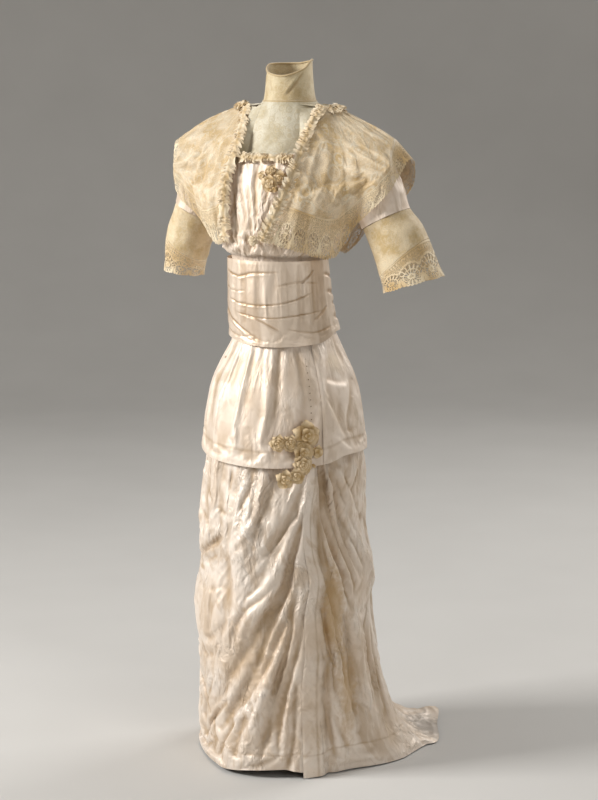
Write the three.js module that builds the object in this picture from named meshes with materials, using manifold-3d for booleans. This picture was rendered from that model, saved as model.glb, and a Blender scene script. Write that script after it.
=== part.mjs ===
// A wedding dress of about 1912, keeping the form in which it is worn: satin under-bodice, sash,
// overskirt and draped wrap skirt with a small train, a net over-bodice edged with lace, net sleeves
// with lace cuffs, a net collar and yoke, ruched strips and two clusters of cloth flowers.
//
// Millimetres. +Z is up, the front faces -Y and the wearer's left is +X. Sizes below are heights above
// the floor; the finished group is lowered so that its origin is the middle of the shoulder line.
// Angles round the body are degrees: 0 front, 90 wearer's left, 180 back, -90 wearer's right.
import * as THREE from "three";
import { mergeVertices } from "three/addons/utils/BufferGeometryUtils.js";
import Module from "manifold-3d";

const wasm = await Module();
wasm.setup();

const SHOULDER_HEIGHT = 1300;
const CLOTH = 1.6;
const NET_CLOTH = 1.2;
const { degToRad, lerp, smoothstep } = THREE.MathUtils;

// ---------------------------------------------------------------- sizes

// Horizontal sections of the satin body: half width, depth in front of and behind the centre, centre.
const BODY = [
  { z: 930, a: 94, f: 87, b: 81, cx: -6, cy: -23 },
  { z: 960, a: 93, f: 84, b: 77, cx: -7, cy: -24 },
  { z: 1000, a: 92, f: 79, b: 71, cx: -9, cy: -26 },
  { z: 1012, a: 93, f: 79, b: 71, cx: -9, cy: -26 },
  { z: 1030, a: 106, f: 96, b: 80, cx: -6, cy: -22 },
  { z: 1060, a: 118, f: 110, b: 91, cx: -3, cy: -16 },
  { z: 1110, a: 134, f: 118, b: 96, cx: 0, cy: -8 },
  { z: 1160, a: 143, f: 114, b: 100, cx: 0, cy: -2 },
  { z: 1210, a: 146, f: 92, b: 94, cx: 0, cy: 2 },
  { z: 1245, a: 143, f: 68, b: 76, cx: 0, cy: 6 },
  { z: 1275, a: 118, f: 48, b: 54, cx: 0, cy: 8 },
];

// Sections of the sash, which is drawn in tight over the joins of bodice, overskirt and skirt.
const SASH = [
  { z: 840, a: 115, f: 112, b: 114, cx: -2, cy: -8 },
  { z: 863, a: 110, f: 107, b: 108, cx: -2, cy: -9 },
  { z: 890, a: 107, f: 103, b: 101, cx: -4, cy: -15 },
  { z: 922, a: 104, f: 99, b: 95, cx: -5, cy: -21 },
  { z: 965, a: 102, f: 93, b: 87, cx: -7, cy: -24 },
  { z: 1012, a: 101, f: 87, b: 80, cx: -9, cy: -26 },
];

// Sections of the skirt down to where it starts to run out to its hem.
const SKIRT = [
  { z: 240, a: 176, f: 186, b: 190, cx: 0, cy: -3 },
  { z: 268, a: 174, f: 184, b: 186, cx: -3, cy: -5 },
  { z: 330, a: 178, f: 184, b: 186, cx: -10, cy: -10 },
  { z: 393, a: 174, f: 180, b: 184, cx: -5, cy: -4 },
  { z: 456, a: 164, f: 176, b: 176, cx: -6, cy: -10 },
  { z: 518, a: 160, f: 172, b: 172, cx: -7, cy: -14 },
  { z: 580, a: 161, f: 167, b: 168, cx: -5, cy: -10 },
  { z: 626, a: 157, f: 162, b: 164, cx: -4, cy: -8 },
  { z: 680, a: 153, f: 153, b: 156, cx: -5, cy: -8 },
  { z: 720, a: 148, f: 145, b: 148, cx: -5, cy: -8 },
  { z: 760, a: 140, f: 136, b: 140, cx: -5, cy: -8 },
  { z: 800, a: 124, f: 121, b: 126, cx: -4, cy: -8 },
  { z: 863, a: 96, f: 93, b: 94, cx: -2, cy: -9 },
  { z: 890, a: 93, f: 89, b: 87, cx: -4, cy: -15 },
  { z: 929, a: 92, f: 86, b: 80, cx: -6, cy: -23 },
];

// Plan of the hem, by angle round the hips: place, height off the floor. It runs out into the train
// between 113 and 162 degrees.
const HEM = [
  { t: -198, x: 40, y: 222, z: 2.5 },
  { t: -180, x: 0, y: 215, z: 2.5 },
  { t: -150, x: -105, y: 172, z: 2.5 },
  { t: -120, x: -176, y: 92, z: 2.5 },
  { t: -95, x: -196, y: 14, z: 3 },
  { t: -75, x: -176, y: -54, z: 4 },
  { t: -52, x: -133, y: -116, z: 5 },
  { t: -28, x: -84, y: -164, z: 6 },
  { t: -10, x: -38, y: -194, z: 9 },
  { t: 4, x: 12, y: -198, z: 15 },
  { t: 20, x: 64, y: -178, z: 18 },
  { t: 35, x: 108, y: -159, z: 13 },
  { t: 45, x: 134, y: -134, z: 3 },
  { t: 55, x: 152, y: -106, z: 2.5 },
  { t: 66, x: 174, y: -74, z: 3 },
  { t: 78, x: 206, y: -39, z: 3 },
  { t: 88, x: 230, y: -4, z: 2.5 },
  { t: 97, x: 246, y: 36, z: 2.5 },
  { t: 106, x: 251, y: 78, z: 2.5 },
  { t: 113, x: 258, y: 118, z: 3 },
  { t: 118, x: 272, y: 143, z: 3 },
  { t: 132, x: 237, y: 236, z: 8 },
  { t: 145, x: 199, y: 320, z: 14 },
  { t: 152, x: 152, y: 282, z: 10 },
  { t: 162, x: 96, y: 240, z: 4 },
  { t: 180, x: 0, y: 215, z: 2.5 },
  { t: 210, x: -105, y: 172, z: 2.5 },
];
const SKIRT_TOP = 929;
// Below this height the skirt runs out to its hem: nearly straight down where the hem is near, and
// along the floor where it is far. `knee` is the share of the way out at which the cloth turns, `lift`
// the height of that turn.
const FLARE = { height: 240, near: 60, far: 150 };
const FLARE_NEAR = { knee: 0.3, lift: 110 };
const FLARE_FAR = { knee: 0.1, lift: 6 };
// How much closer to the body the skirt lies under the overskirt, which starts between these heights.
const TUCK = { depth: 5, from: 650, full: 710 };
// Creases die out over this height above the floor.
const FLAT_FOOT = 60;
// Radius at which a degree round each surface is measured when a crease is laid on it.
const CREASE_RADIUS = { skirt: 168, overskirt: 150, sash: 100 };

// Soft troughs (positive depth) and ridges (negative) of the draped skirt, each along a straight line
// between two places on it: angle and height of its start and end, depth and half width.
const SKIRT_FOLDS = [
  { t0: 13, z0: 620, t1: 10, z1: 520, depth: -7, width: 12 },
  { t0: 10, z0: 520, t1: -14, z1: 425, depth: -8, width: 16 },
  { t0: 39, z0: 540, t1: 11, z1: 430, depth: 7, width: 13 },
  { t0: 34, z0: 440, t1: 4, z1: 273, depth: 9, width: 15 },
  { t0: 4, z0: 273, t1: -36, z1: 96, depth: 8, width: 18 },
  { t0: 32, z0: 400, t1: 10, z1: 250, depth: 7, width: 13 },
  { t0: 10, z0: 250, t1: -20, z1: 80, depth: 9, width: 16 },
  { t0: 30, z0: 326, t1: 9, z1: 205, depth: 7, width: 12 },
  { t0: 27, z0: 262, t1: 7, z1: 30, depth: 8, width: 14 },
  { t0: -20, z0: 470, t1: -62, z1: 405, depth: 8, width: 16 },
  { t0: -8, z0: 300, t1: -60, z1: 265, depth: -6, width: 30 },
  { t0: -44, z0: 250, t1: -50, z1: 40, depth: 6, width: 18 },
  { t0: 50, z0: 640, t1: 72, z1: 360, depth: 9, width: 13 },
  { t0: 60, z0: 640, t1: 84, z1: 370, depth: 8, width: 13 },
  { t0: 76, z0: 560, t1: 110, z1: 330, depth: -8, width: 14 },
  { t0: 70, z0: 330, t1: 76, z1: 20, depth: 8, width: 15 },
  { t0: 92, z0: 300, t1: 96, z1: 20, depth: 7, width: 15 },
  { t0: 128, z0: 600, t1: 122, z1: 150, depth: 9, width: 16 },
  { t0: 152, z0: 640, t1: 146, z1: 150, depth: 10, width: 17 },
  { t0: 178, z0: 620, t1: 170, z1: 60, depth: 9, width: 17 },
  { t0: -152, z0: 640, t1: -160, z1: 40, depth: 9, width: 17 },
  { t0: -124, z0: 600, t1: -132, z1: 60, depth: 8, width: 17 },
  { t0: -96, z0: 560, t1: -108, z1: 120, depth: 7, width: 16 },
];

// Left and right edges of the band down the wrap's edge, as angles by height.
const LAP_EDGES = [
  { z: 0, left: 35, right: 46 },
  { z: 170, left: 35, right: 46.5 },
  { z: 220, left: 36, right: 47.5 },
  { z: 300, left: 39.5, right: 49 },
  { z: 400, left: 41.5, right: 49 },
  { z: 470, left: 41, right: 47.5 },
  { z: 640, left: 42, right: 49 },
];
// The band's share of the left panel, how far it stands off the panel below and reaches over it, the
// height of its foot, and the depth, place and half width of the fold beside it as shares of the rest.
const LAP = { share: 0.17, stand: 3.2, under: 5, foot: 2.5, fold: 6, foldAt: 0.09, foldWidth: 0.05 };

// The overskirt: height of its top, how far it stands off the skirt, the angles between which its left
// half lies over its right, how far off and over how many degrees it comes back, its creases' share.
const OVERSKIRT = {
  top: 896,
  standTop: 3.6,
  standHem: 7,
  lapFrom: 53,
  lapTo: 60,
  lapStand: 3,
  lapFade: 12,
};
const OVERSKIRT_CREASE = 0.6;
const OVERSKIRT_HEM = [
  { t: -180, z: 622 },
  { t: -110, z: 634 },
  { t: -70, z: 636 },
  { t: -30, z: 624 },
  { t: 15, z: 619 },
  { t: 50, z: 622 },
  { t: 75, z: 634 },
  { t: 110, z: 630 },
  { t: 180, z: 622 },
];
const OVERSKIRT_FOLDS = [
  { t0: 20, z0: 850, t1: 19, z1: 680, depth: 4, width: 12 },
  { t0: 60, z0: 790, t1: 96, z1: 775, depth: 3.5, width: 10 },
  { t0: 96, z0: 790, t1: 72, z1: 660, depth: 4, width: 12 },
  { t0: -60, z0: 850, t1: -66, z1: 640, depth: 4, width: 15 },
  { t0: -100, z0: 850, t1: -106, z1: 630, depth: 4, width: 16 },
  { t0: 130, z0: 850, t1: 134, z1: 630, depth: 4, width: 16 },
  { t0: 165, z0: 850, t1: 168, z1: 630, depth: 4, width: 16 },
  { t0: -150, z0: 850, t1: -146, z1: 630, depth: 4, width: 16 },
];

// Edges of the sash, how loosely it lies on its sections, and its long draped creases.
const SASH_TOP = 1010;
const SASH_EASE = 1;
const SASH_FOOT = [
  { t: -180, z: 858 },
  { t: -70, z: 858 },
  { t: 10, z: 845 },
  { t: 60, z: 850 },
  { t: 95, z: 868 },
  { t: 180, z: 858 },
];
const SASH_FOLDS = [
  { t0: -30, z0: 930, t1: 60, z1: 926, depth: 3.6, width: 7 },
  { t0: -22, z0: 905, t1: 85, z1: 908, depth: 3.2, width: 7 },
  { t0: -62, z0: 912, t1: 10, z1: 848, depth: 3.6, width: 8 },
  { t0: -10, z0: 902, t1: 25, z1: 872, depth: 3, width: 7 },
  { t0: -60, z0: 985, t1: 20, z1: 988, depth: 3, width: 7 },
  { t0: -175, z0: 930, t1: -70, z1: 940, depth: 3.4, width: 8 },
  { t0: -170, z0: 890, t1: -80, z1: 900, depth: 3.4, width: 8 },
  { t0: 85, z0: 950, t1: 175, z1: 935, depth: 3.4, width: 8 },
  { t0: 90, z0: 900, t1: 175, z1: 885, depth: 3.4, width: 8 },
  { t0: 80, z0: 985, t1: 160, z1: 975, depth: 3, width: 7 },
  { t0: -160, z0: 975, t1: -80, z1: 982, depth: 3, width: 7 },
];

// Top edges of the under-bodice by angle, and the puffs gathered into the sash.
const BODICE_FOOT = 931;
const BODICE_FRONT_TOP = [
  { t: -88, z: 1096 },
  { t: -66, z: 1190 },
  { t: -52, z: 1240 },
  { t: -36, z: 1220 },
  { t: 0, z: 1212 },
  { t: 36, z: 1220 },
  { t: 52, z: 1240 },
  { t: 66, z: 1190 },
  { t: 88, z: 1096 },
];
const BODICE_BACK_TOP = [
  { t: 92, z: 1096 },
  { t: 112, z: 1180 },
  { t: 128, z: 1240 },
  { t: 150, z: 1252 },
  { t: 180, z: 1248 },
  { t: 210, z: 1252 },
  { t: 232, z: 1240 },
  { t: 248, z: 1180 },
  { t: 268, z: 1096 },
];
// Height at which the bodice is drawn in by the sash, and its share down the panels.
const NIP = { z: 1012, share: 0.78 };
const BODICE_ROWS = [0, 0.22, 0.42, 0.6, 0.7, NIP.share, 1];
// Where the two panels end at the sides, just clear of each other.
const BODICE_SIDE = { front: 88, back: 88.3 };
const PUFFS = { count: 22, from: 1016, full: 1034, to: 1110, depth: 3, slow: 9, slowShare: 0.5 };

// Neck: standing collar, then the yoke as rings spreading from its foot.
const COLLAR = [
  { z: 1308, a: 52, f: 53, b: 54, cx: 3, cy: 4 },
  { z: 1330, a: 48, f: 49, b: 50, cx: 3, cy: 4 },
  { z: 1360, a: 45, f: 46, b: 47, cx: 3, cy: 4 },
  { z: 1400, a: 43, f: 45, b: 46, cx: 3, cy: 4 },
];
const COLLAR_FOOT = 1312;
const COLLAR_TOP = [
  { t: -180, z: 1384 },
  { t: -100, z: 1383 },
  { t: -40, z: 1366 },
  { t: 5, z: 1360 },
  { t: 60, z: 1372 },
  { t: 105, z: 1395 },
  { t: 180, z: 1384 },
];
const YOKE = [
  { v: 0, a: 53, f: 54, b: 55, cx: 3, cy: 4, z: 1311 },
  { v: 0.25, a: 64, f: 57, b: 57, cx: 2, cy: 4, z: 1301 },
  { v: 0.5, a: 74, f: 62, b: 60, cx: 1, cy: 4, z: 1282 },
  { v: 0.75, a: 82, f: 72, b: 74, cx: 0, cy: 3, z: 1248 },
  { v: 1, a: 90, f: 86, b: 84, cx: 0, cy: 2, z: 1206 },
];
const YOKE_BACK_SHARE = 0.55;

// Rings of a sleeve, from shoulder to cuff, for the wearer's left: centre, lean of the arm outward from
// straight down, half size across the arm in the plane of the lean, half size front to back.
const SLEEVE_LEFT = [
  { s: 0, x: 152, y: 8, z: 1172, lean: 76, half: 66, deep: 54 },
  { s: 1, x: 176, y: 5, z: 1152, lean: 56, half: 61, deep: 52 },
  { s: 2, x: 196, y: 0, z: 1124, lean: 38, half: 55, deep: 49 },
  { s: 3, x: 212, y: -4, z: 1090, lean: 26, half: 50, deep: 48 },
  { s: 4, x: 234, y: -5, z: 1056, lean: 25, half: 55, deep: 54 },
  { s: 5, x: 250, y: -5, z: 1018, lean: 23, half: 57, deep: 55 },
  { s: 6, x: 263, y: -5, z: 985, lean: 19, half: 58, deep: 56 },
  { s: 7, x: 270, y: -5, z: 966, lean: 17, half: 61, deep: 58 },
];
const SLEEVE_RIGHT = [
  { s: 0, x: 152, y: 8, z: 1172, lean: 76, half: 66, deep: 54 },
  { s: 1, x: 174, y: 5, z: 1152, lean: 56, half: 60, deep: 52 },
  { s: 2, x: 188, y: 0, z: 1124, lean: 38, half: 52, deep: 49 },
  { s: 3, x: 197, y: -4, z: 1094, lean: 26, half: 46, deep: 47 },
  { s: 4, x: 210, y: -5, z: 1058, lean: 18, half: 46, deep: 50 },
  { s: 5, x: 220, y: -5, z: 1024, lean: 12, half: 44, deep: 50 },
  { s: 6, x: 226, y: -5, z: 988, lean: 9, half: 40, deep: 48 },
  { s: 7, x: 229, y: -5, z: 969, lean: 9, half: 40, deep: 48 },
];
// Rings at which the satin sleeve ends and the cuff starts, the clearance in rings at those seams, and
// the clearance in degrees between the two halves of a cuff.
const SLEEVE_SEAM = 3;
const CUFF_START = { outer: 4.6, inner: 5.6 };
const SLEEVE_GAP = 0.01;
const CUFF_GAP = { rings: 0.02, degrees: 0.3 };

// Ribs of the net over-bodice on the wearer's left, from its front edge round over the shoulder to the
// middle of the back. Each runs from the neck to the lace's outer edge through two places between.
const RIBS = [
  { neck: [80, -12, 1303], upper: [70, -68, 1246], lower: [56, -128, 1150], edge: [10, -140, 1050] },
  { neck: [86, -6, 1303], upper: [104, -64, 1240], lower: [100, -120, 1132], edge: [76, -114, 1030] },
  { neck: [90, 0, 1302], upper: [134, -58, 1226], lower: [142, -92, 1120], edge: [122, -56, 1014] },
  { neck: [93, 4, 1302], upper: [166, -60, 1216], lower: [182, -70, 1146], edge: [166, -58, 1074] },
  { neck: [95, 8, 1302], upper: [182, -38, 1240], lower: [230, -58, 1190], edge: [236, -58, 1142] },
  { neck: [97, 12, 1302], upper: [166, 8, 1272], lower: [218, 6, 1245], edge: [260, 2, 1207] },
  { neck: [95, 18, 1301], upper: [182, 50, 1240], lower: [230, 64, 1190], edge: [234, 66, 1142] },
  { neck: [92, 26, 1300], upper: [166, 70, 1216], lower: [180, 80, 1146], edge: [156, 62, 1072] },
  { neck: [82, 38, 1299], upper: [128, 80, 1226], lower: [136, 100, 1120], edge: [96, 70, 1014] },
  { neck: [48, 60, 1298], upper: [66, 92, 1234], lower: [74, 112, 1130], edge: [56, 92, 1022] },
  { neck: [0, 70, 1297], upper: [0, 98, 1238], lower: [0, 114, 1136], edge: [0, 98, 1026] },
];
// Where the wearer's right front differs: its edge hangs straight, and its shoulder flange is shorter.
const RIGHT_RIBS = {
  0: { neck: [80, -12, 1304], upper: [70, -66, 1246], lower: [78, -118, 1150], edge: [78, -114, 1044] },
  1: { neck: [86, -6, 1304], upper: [106, -63, 1240], lower: [112, -112, 1132], edge: [102, -100, 1036] },
  2: { neck: [90, 0, 1304], upper: [134, -58, 1232], lower: [146, -90, 1126], edge: [132, -72, 1046] },
  3: { neck: [93, 4, 1305], upper: [164, -60, 1226], lower: [178, -70, 1150], edge: [166, -60, 1086] },
  4: { neck: [95, 8, 1306], upper: [180, -38, 1248], lower: [218, -58, 1196], edge: [216, -58, 1136] },
  5: { neck: [97, 12, 1306], upper: [160, 8, 1284], lower: [206, 6, 1258], edge: [248, 2, 1232] },
};
// Share of the way down at which the lace border starts, the rib of the seam under the flange, the
// clearances there, and the soft folds of the net, which fade in below the shoulder.
const LACE_START = 0.74;
const LACE_GAP = 0.007;
const BACK_SEAM = 5.5;
const BACK_GAP = 0.01;
const LAST_RIB = RIBS.length - 1;
const NET_FOLDS = { count: 9, depth: 2.6, slant: 2.2, below: 1270, full: 1200 };

// One repeat of the lace along the edge and across it, as shares; open cells are named by column, row.
const LACE = {
  along: [0, 0.3, 0.62],
  across: [0, 0.2, 0.38, 0.56, 0.74, 1],
  open: ["0,1", "1,3"],
  scallop: 0.13,
  roundness: 0.6,
};
const LACE_REPEATS = { front: 9, back: 10, cuff: 3 };

// Ruched strips: width, height of the gathers, their spacing, and how far the strip lies off the net.
const RUCHE = { width: 20, wave: 2.2, spacing: 15, lift: 4.6, thick: 1, skew: 0.7, columns: 3 };
const RUCHE_LENGTH = { left: 290, right: 275, back: 200, neck: 112 };

// Cloth flowers: place on the body by angle and height, radius, petals.
const NECK_FLOWERS = [
  { t: 8.5, z: 1179, r: 15, lobes: 5, lift: 12 },
  { t: 15, z: 1171, r: 14, lobes: 4, lift: 12 },
  { t: 8, z: 1160, r: 14, lobes: 5, lift: 12 },
];
const SKIRT_FLOWERS = [
  { t: 22, z: 668, r: 17, lobes: 5, lift: 20 },
  { t: 30, z: 668, r: 16, lobes: 5, lift: 20 },
  { t: 40.5, z: 682, r: 25, lobes: 4, lift: 21 },
  { t: 47.5, z: 650, r: 17, lobes: 5, lift: 21 },
  { t: 38.5, z: 655, r: 19, lobes: 3, lift: 20 },
  { t: 37, z: 628, r: 19, lobes: 5, lift: 21 },
  { t: 35, z: 602, r: 14, lobes: 5, lift: 21 },
  { t: 27, z: 602, r: 17, lobes: 4, lift: 20 },
];

const FINISH = {
  satin: { color: 0xe6dacb, roughness: 0.38, metalness: 0 },
  sash: { color: 0xdccfbe, roughness: 0.42, metalness: 0 },
  net: { color: 0xcdbf9f, roughness: 0.85, metalness: 0 },
  yoke: { color: 0xc3c1ab, roughness: 0.85, metalness: 0 },
  lace: { color: 0xd2c4a6, roughness: 0.9, metalness: 0 },
  ruche: { color: 0xcfb890, roughness: 0.8, metalness: 0 },
  flower: { color: 0xcdb48e, roughness: 0.7, metalness: 0 },
};

// ---------------------------------------------------------------- curves and surfaces

/** Smooth, never overshooting row of a table at a place along its key column. */
function sample(table, key, at) {
  const last = table.length - 1;
  const x = THREE.MathUtils.clamp(at, table[0][key], table[last][key]);
  let i = 0;
  while (i < last - 1 && x > table[i + 1][key]) i += 1;
  const span = table[i + 1][key] - table[i][key];
  const k = (x - table[i][key]) / span;
  const row = {};
  for (const name of Object.keys(table[0])) {
    const rise = (j) => (table[j + 1][name] - table[j][name]) / (table[j + 1][key] - table[j][key]);
    const slope = (j) => {
      if (j === 0) return rise(0);
      if (j === last) return rise(last - 1);
      const [p, q] = [rise(j - 1), rise(j)];
      return p * q > 0 ? (2 * p * q) / (p + q) : 0;
    };
    const [y0, y1] = [table[i][name], table[i + 1][name]];
    const [m0, m1] = [slope(i) * span, slope(i + 1) * span];
    const k2 = k * k;
    const k3 = k2 * k;
    row[name] = (2 * k3 - 3 * k2 + 1) * y0 + (k3 - 2 * k2 + k) * m0;
    row[name] += (3 * k2 - 2 * k3) * y1 + (k3 - k2) * m1;
  }
  return row;
}

/** Point on an oval section at an angle round the body, moved out by a distance. */
function onOval(oval, angle, out = 0) {
  const turn = degToRad(angle);
  const depth = Math.cos(turn) > 0 ? oval.f : oval.b;
  const x = oval.cx + (oval.a + out) * Math.sin(turn);
  const y = oval.cy - (depth + out) * Math.cos(turn);
  return new THREE.Vector3(x, y, oval.z);
}

const onBody = (table, angle, z, out = 0) => onOval(sample(table, "z", z), angle, out);

/** How far a set of straight soft creases draws the cloth in at an angle and height. */
function creaseDepth(folds, angle, z, radius) {
  const arc = degToRad(radius);
  let sum = 0;
  for (const fold of folds) {
    const along = new THREE.Vector2((fold.t1 - fold.t0) * arc, fold.z1 - fold.z0);
    const here = new THREE.Vector2((angle - fold.t0) * arc, z - fold.z0);
    const length = along.length();
    const share = here.dot(along) / (length * length);
    const off = here.cross(along) / length;
    const fade = smoothstep(share, -0.08, 0.15) * (1 - smoothstep(share, 0.85, 1.08));
    sum += fold.depth * fade * Math.exp(-((off / fold.width) ** 2));
  }
  return sum;
}

/** Vectors' Catmull-Rom blend at a place counted in vectors. */
function blend(points, at) {
  const last = points.length - 1;
  const i = Math.min(Math.floor(at), last - 1);
  const pick = (j) => points[THREE.MathUtils.clamp(j, 0, last)];
  const curve = (axis) => {
    const [p0, p1, p2, p3] = [pick(i - 1), pick(i), pick(i + 1), pick(i + 2)].map((p) => p[axis]);
    const k = at - i;
    const bend = (2 * p0 - 5 * p1 + 4 * p2 - p3) * k + (3 * p1 - p0 - 3 * p2 + p3) * k * k;
    return p1 + 0.5 * k * (p2 - p0 + bend);
  };
  return new THREE.Vector3(curve("x"), curve("y"), curve("z"));
}

const steps = (count) => Array.from({ length: count + 1 }, (_, i) => i / count);

// ---------------------------------------------------------------- walls

/**
 * Closed cloth wall over a grid. `us` run toward the wearer's left and `vs` down; `at` gives the outer
 * face. A round wall joins its last column to its first. Cells for which `open` holds are cut through.
 */
function wall({ us, vs, at, thick = CLOTH, round = false, open = () => false }) {
  const wide = round ? us.length - 1 : us.length;
  const high = vs.length;
  const outer = [];
  const inner = [];
  const [stepU, stepV] = [0.5 / (us.length - 1), 0.5 / (high - 1)];
  for (const v of vs) {
    for (let i = 0; i < wide; i += 1) {
      const point = at(us[i], v);
      const along = at(us[i] + stepU, v).sub(at(us[i] - stepU, v));
      const down = at(us[i], v + stepV).sub(at(us[i], v - stepV));
      outer.push(point);
      inner.push(point.clone().addScaledVector(down.cross(along).normalize(), -thick));
    }
  }
  const index = (i, j) => j * wide + (round ? i % wide : i);
  const back = outer.length;
  const cells = us.length - 1;
  const solid = (i, j) => {
    if (j < 0 || j >= high - 1) return false;
    if (!round && (i < 0 || i >= cells)) return false;
    return !open((i + cells) % cells, j);
  };
  const faces = [];
  const side = (p, q) => faces.push(q, p, p + back, q, p + back, q + back);
  for (let j = 0; j < high - 1; j += 1) {
    for (let i = 0; i < cells; i += 1) {
      if (!solid(i, j)) continue;
      const [a, b, c, d] = [index(i, j), index(i + 1, j), index(i + 1, j + 1), index(i, j + 1)];
      faces.push(a, d, c, a, c, b, a + back, c + back, d + back, a + back, b + back, c + back);
      if (!solid(i - 1, j)) side(a, d);
      if (!solid(i, j + 1)) side(d, c);
      if (!solid(i + 1, j)) side(c, b);
      if (!solid(i, j - 1)) side(b, a);
    }
  }
  return toGeometry([...outer, ...inner].flatMap((p) => p.toArray()), faces);
}

/** Geometry from flat lists of coordinates and corners. */
function toGeometry(positions, faces) {
  const geometry = new THREE.BufferGeometry();
  geometry.setAttribute("position", new THREE.Float32BufferAttribute(positions, 3));
  geometry.setIndex(faces);
  geometry.computeVertexNormals();
  return geometry;
}

const dress = new THREE.Group();
dress.name = "wedding_dress";

function add(name, finish, geometry) {
  const mesh = new THREE.Mesh(geometry, new THREE.MeshStandardMaterial(FINISH[finish]));
  mesh.name = name;
  dress.add(mesh);
}

// ---------------------------------------------------------------- skirt

/** Point of the skirt at an angle, a share down from its waist to its hem, and a distance out. */
function onSkirt(angle, share, out = 0, foot = undefined) {
  const hem = sample(HEM, "t", angle);
  const rim = onBody(SKIRT, angle, FLARE.height);
  const floor = new THREE.Vector3(hem.x, hem.y, foot ?? hem.z);
  const reach = Math.hypot(floor.x - rim.x, floor.y - rim.y);
  const flareShare = (FLARE.height + reach) / (SKIRT_TOP + reach);
  const point = new THREE.Vector3();
  if (share < 1 - flareShare) {
    point.copy(onBody(SKIRT, angle, lerp(SKIRT_TOP, FLARE.height, share / (1 - flareShare))));
  } else {
    const trail = smoothstep(reach, FLARE.near, FLARE.far);
    const k = (share - 1 + flareShare) / flareShare;
    const knee = rim.clone().lerp(floor, lerp(FLARE_NEAR.knee, FLARE_FAR.knee, trail));
    knee.z = lerp(FLARE_NEAR.lift, FLARE_FAR.lift, trail);
    point.copy(rim).multiplyScalar((1 - k) ** 2);
    point.addScaledVector(knee, 2 * k * (1 - k)).addScaledVector(floor, k * k);
  }
  const turn = degToRad(angle);
  const crease = creaseDepth(SKIRT_FOLDS, angle, point.z, CREASE_RADIUS.skirt);
  const tuck = TUCK.depth * smoothstep(point.z, TUCK.from, TUCK.full);
  const draw = out - tuck - crease * smoothstep(point.z, 0, FLAT_FOOT);
  point.x += draw * Math.sin(turn);
  point.y -= draw * Math.cos(turn);
  return point;
}

function skirtPanel(from, to, cols, rows) {
  const at = (u, v) => onSkirt(lerp(from(v), to(v), u), v);
  return wall({ us: steps(cols), vs: steps(rows), at });
}

const lapEdge = (share) => sample(LAP_EDGES, "z", SKIRT_TOP * (1 - share));
const SEAM_ANGLE = 0.12;
const SIDE_SEAM = { left: 104, right: -150 };
const SKIRT_ROWS = 12;

/** Left panel: the band along its front edge stands off the panel below, then dips into a deep fold. */
function leftPanelPoint(u, v) {
  const edge = lapEdge(v);
  const end = SIDE_SEAM.left - SEAM_ANGLE;
  if (u <= LAP.share) {
    const angle = lerp(edge.left, edge.right, u / LAP.share);
    return onSkirt(angle, v, LAP.stand, LAP.foot);
  }
  const k = (u - LAP.share) / (1 - LAP.share);
  const dip = LAP.fold * Math.exp(-(((k - LAP.foldAt) / LAP.foldWidth) ** 2));
  return onSkirt(lerp(edge.right, end, k), v, LAP.stand * (1 - smoothstep(k, 0, LAP.foldAt)) - dip);
}

const underLap = (v) => lapEdge(v).left + LAP.under;
add("skirt_right", "satin", skirtPanel(() => SIDE_SEAM.right, underLap, 30, SKIRT_ROWS));
const besideBand = steps(11).slice(1).map((k) => lerp(LAP.share, 1, k));
const leftKnots = [0, 0.5 * LAP.share, LAP.share, ...besideBand];
add("skirt_left", "satin", wall({ us: leftKnots, vs: steps(SKIRT_ROWS), at: leftPanelPoint }));
const backEnd = () => 360 + SIDE_SEAM.right - SEAM_ANGLE;
add("skirt_back", "satin", skirtPanel(() => SIDE_SEAM.left, backEnd, 15, SKIRT_ROWS));

// ---------------------------------------------------------------- overskirt and sash

/** Point of the overskirt; `lap` is 1 on the half that lies over the other. */
function onOverskirt(angle, share, lap) {
  const { top, standTop, standHem, lapTo, lapStand, lapFade } = OVERSKIRT;
  const z = lerp(top, sample(OVERSKIRT_HEM, "t", angle).z, share);
  const stand = lerp(standTop, standHem, smoothstep(share, 0.1, 0.6));
  const over = lap * lapStand * (1 - smoothstep(angle, lapTo, lapTo + lapFade));
  const crease = creaseDepth(OVERSKIRT_FOLDS, angle, z, CREASE_RADIUS.overskirt);
  return onBody(SKIRT, angle, z, stand + over - OVERSKIRT_CREASE * crease * smoothstep(share, 0.1, 0.3));
}

function overskirtHalf(from, to, cols, lap) {
  const at = (u, v) => onOverskirt(lerp(from, to, u), v, lap);
  return wall({ us: steps(cols), vs: steps(6), at });
}
add("overskirt_right", "satin", overskirtHalf(-180 + SEAM_ANGLE, OVERSKIRT.lapTo, 22, 0));
add("overskirt_left", "satin", overskirtHalf(OVERSKIRT.lapFrom, 180 - SEAM_ANGLE, 13, 1));

const sashPoint = (u, v) => {
  const angle = lerp(-180, 180, u);
  const z = lerp(SASH_TOP, sample(SASH_FOOT, "t", angle).z, v);
  return onBody(SASH, angle, z, SASH_EASE - creaseDepth(SASH_FOLDS, angle, z, CREASE_RADIUS.sash));
};
add("sash", "sash", wall({ us: steps(28), vs: steps(7), at: sashPoint, round: true }));

// ---------------------------------------------------------------- under-bodice

function onBodice(angle, z) {
  const puffed = smoothstep(z, PUFFS.from, PUFFS.full) * (1 - smoothstep(z, PUFFS.full, PUFFS.to));
  const quick = Math.cos(degToRad(angle * PUFFS.count));
  const wave = quick + PUFFS.slowShare * Math.sin(degToRad(angle * PUFFS.slow));
  return onBody(BODY, angle, z, puffed * PUFFS.depth * wave);
}

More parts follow.
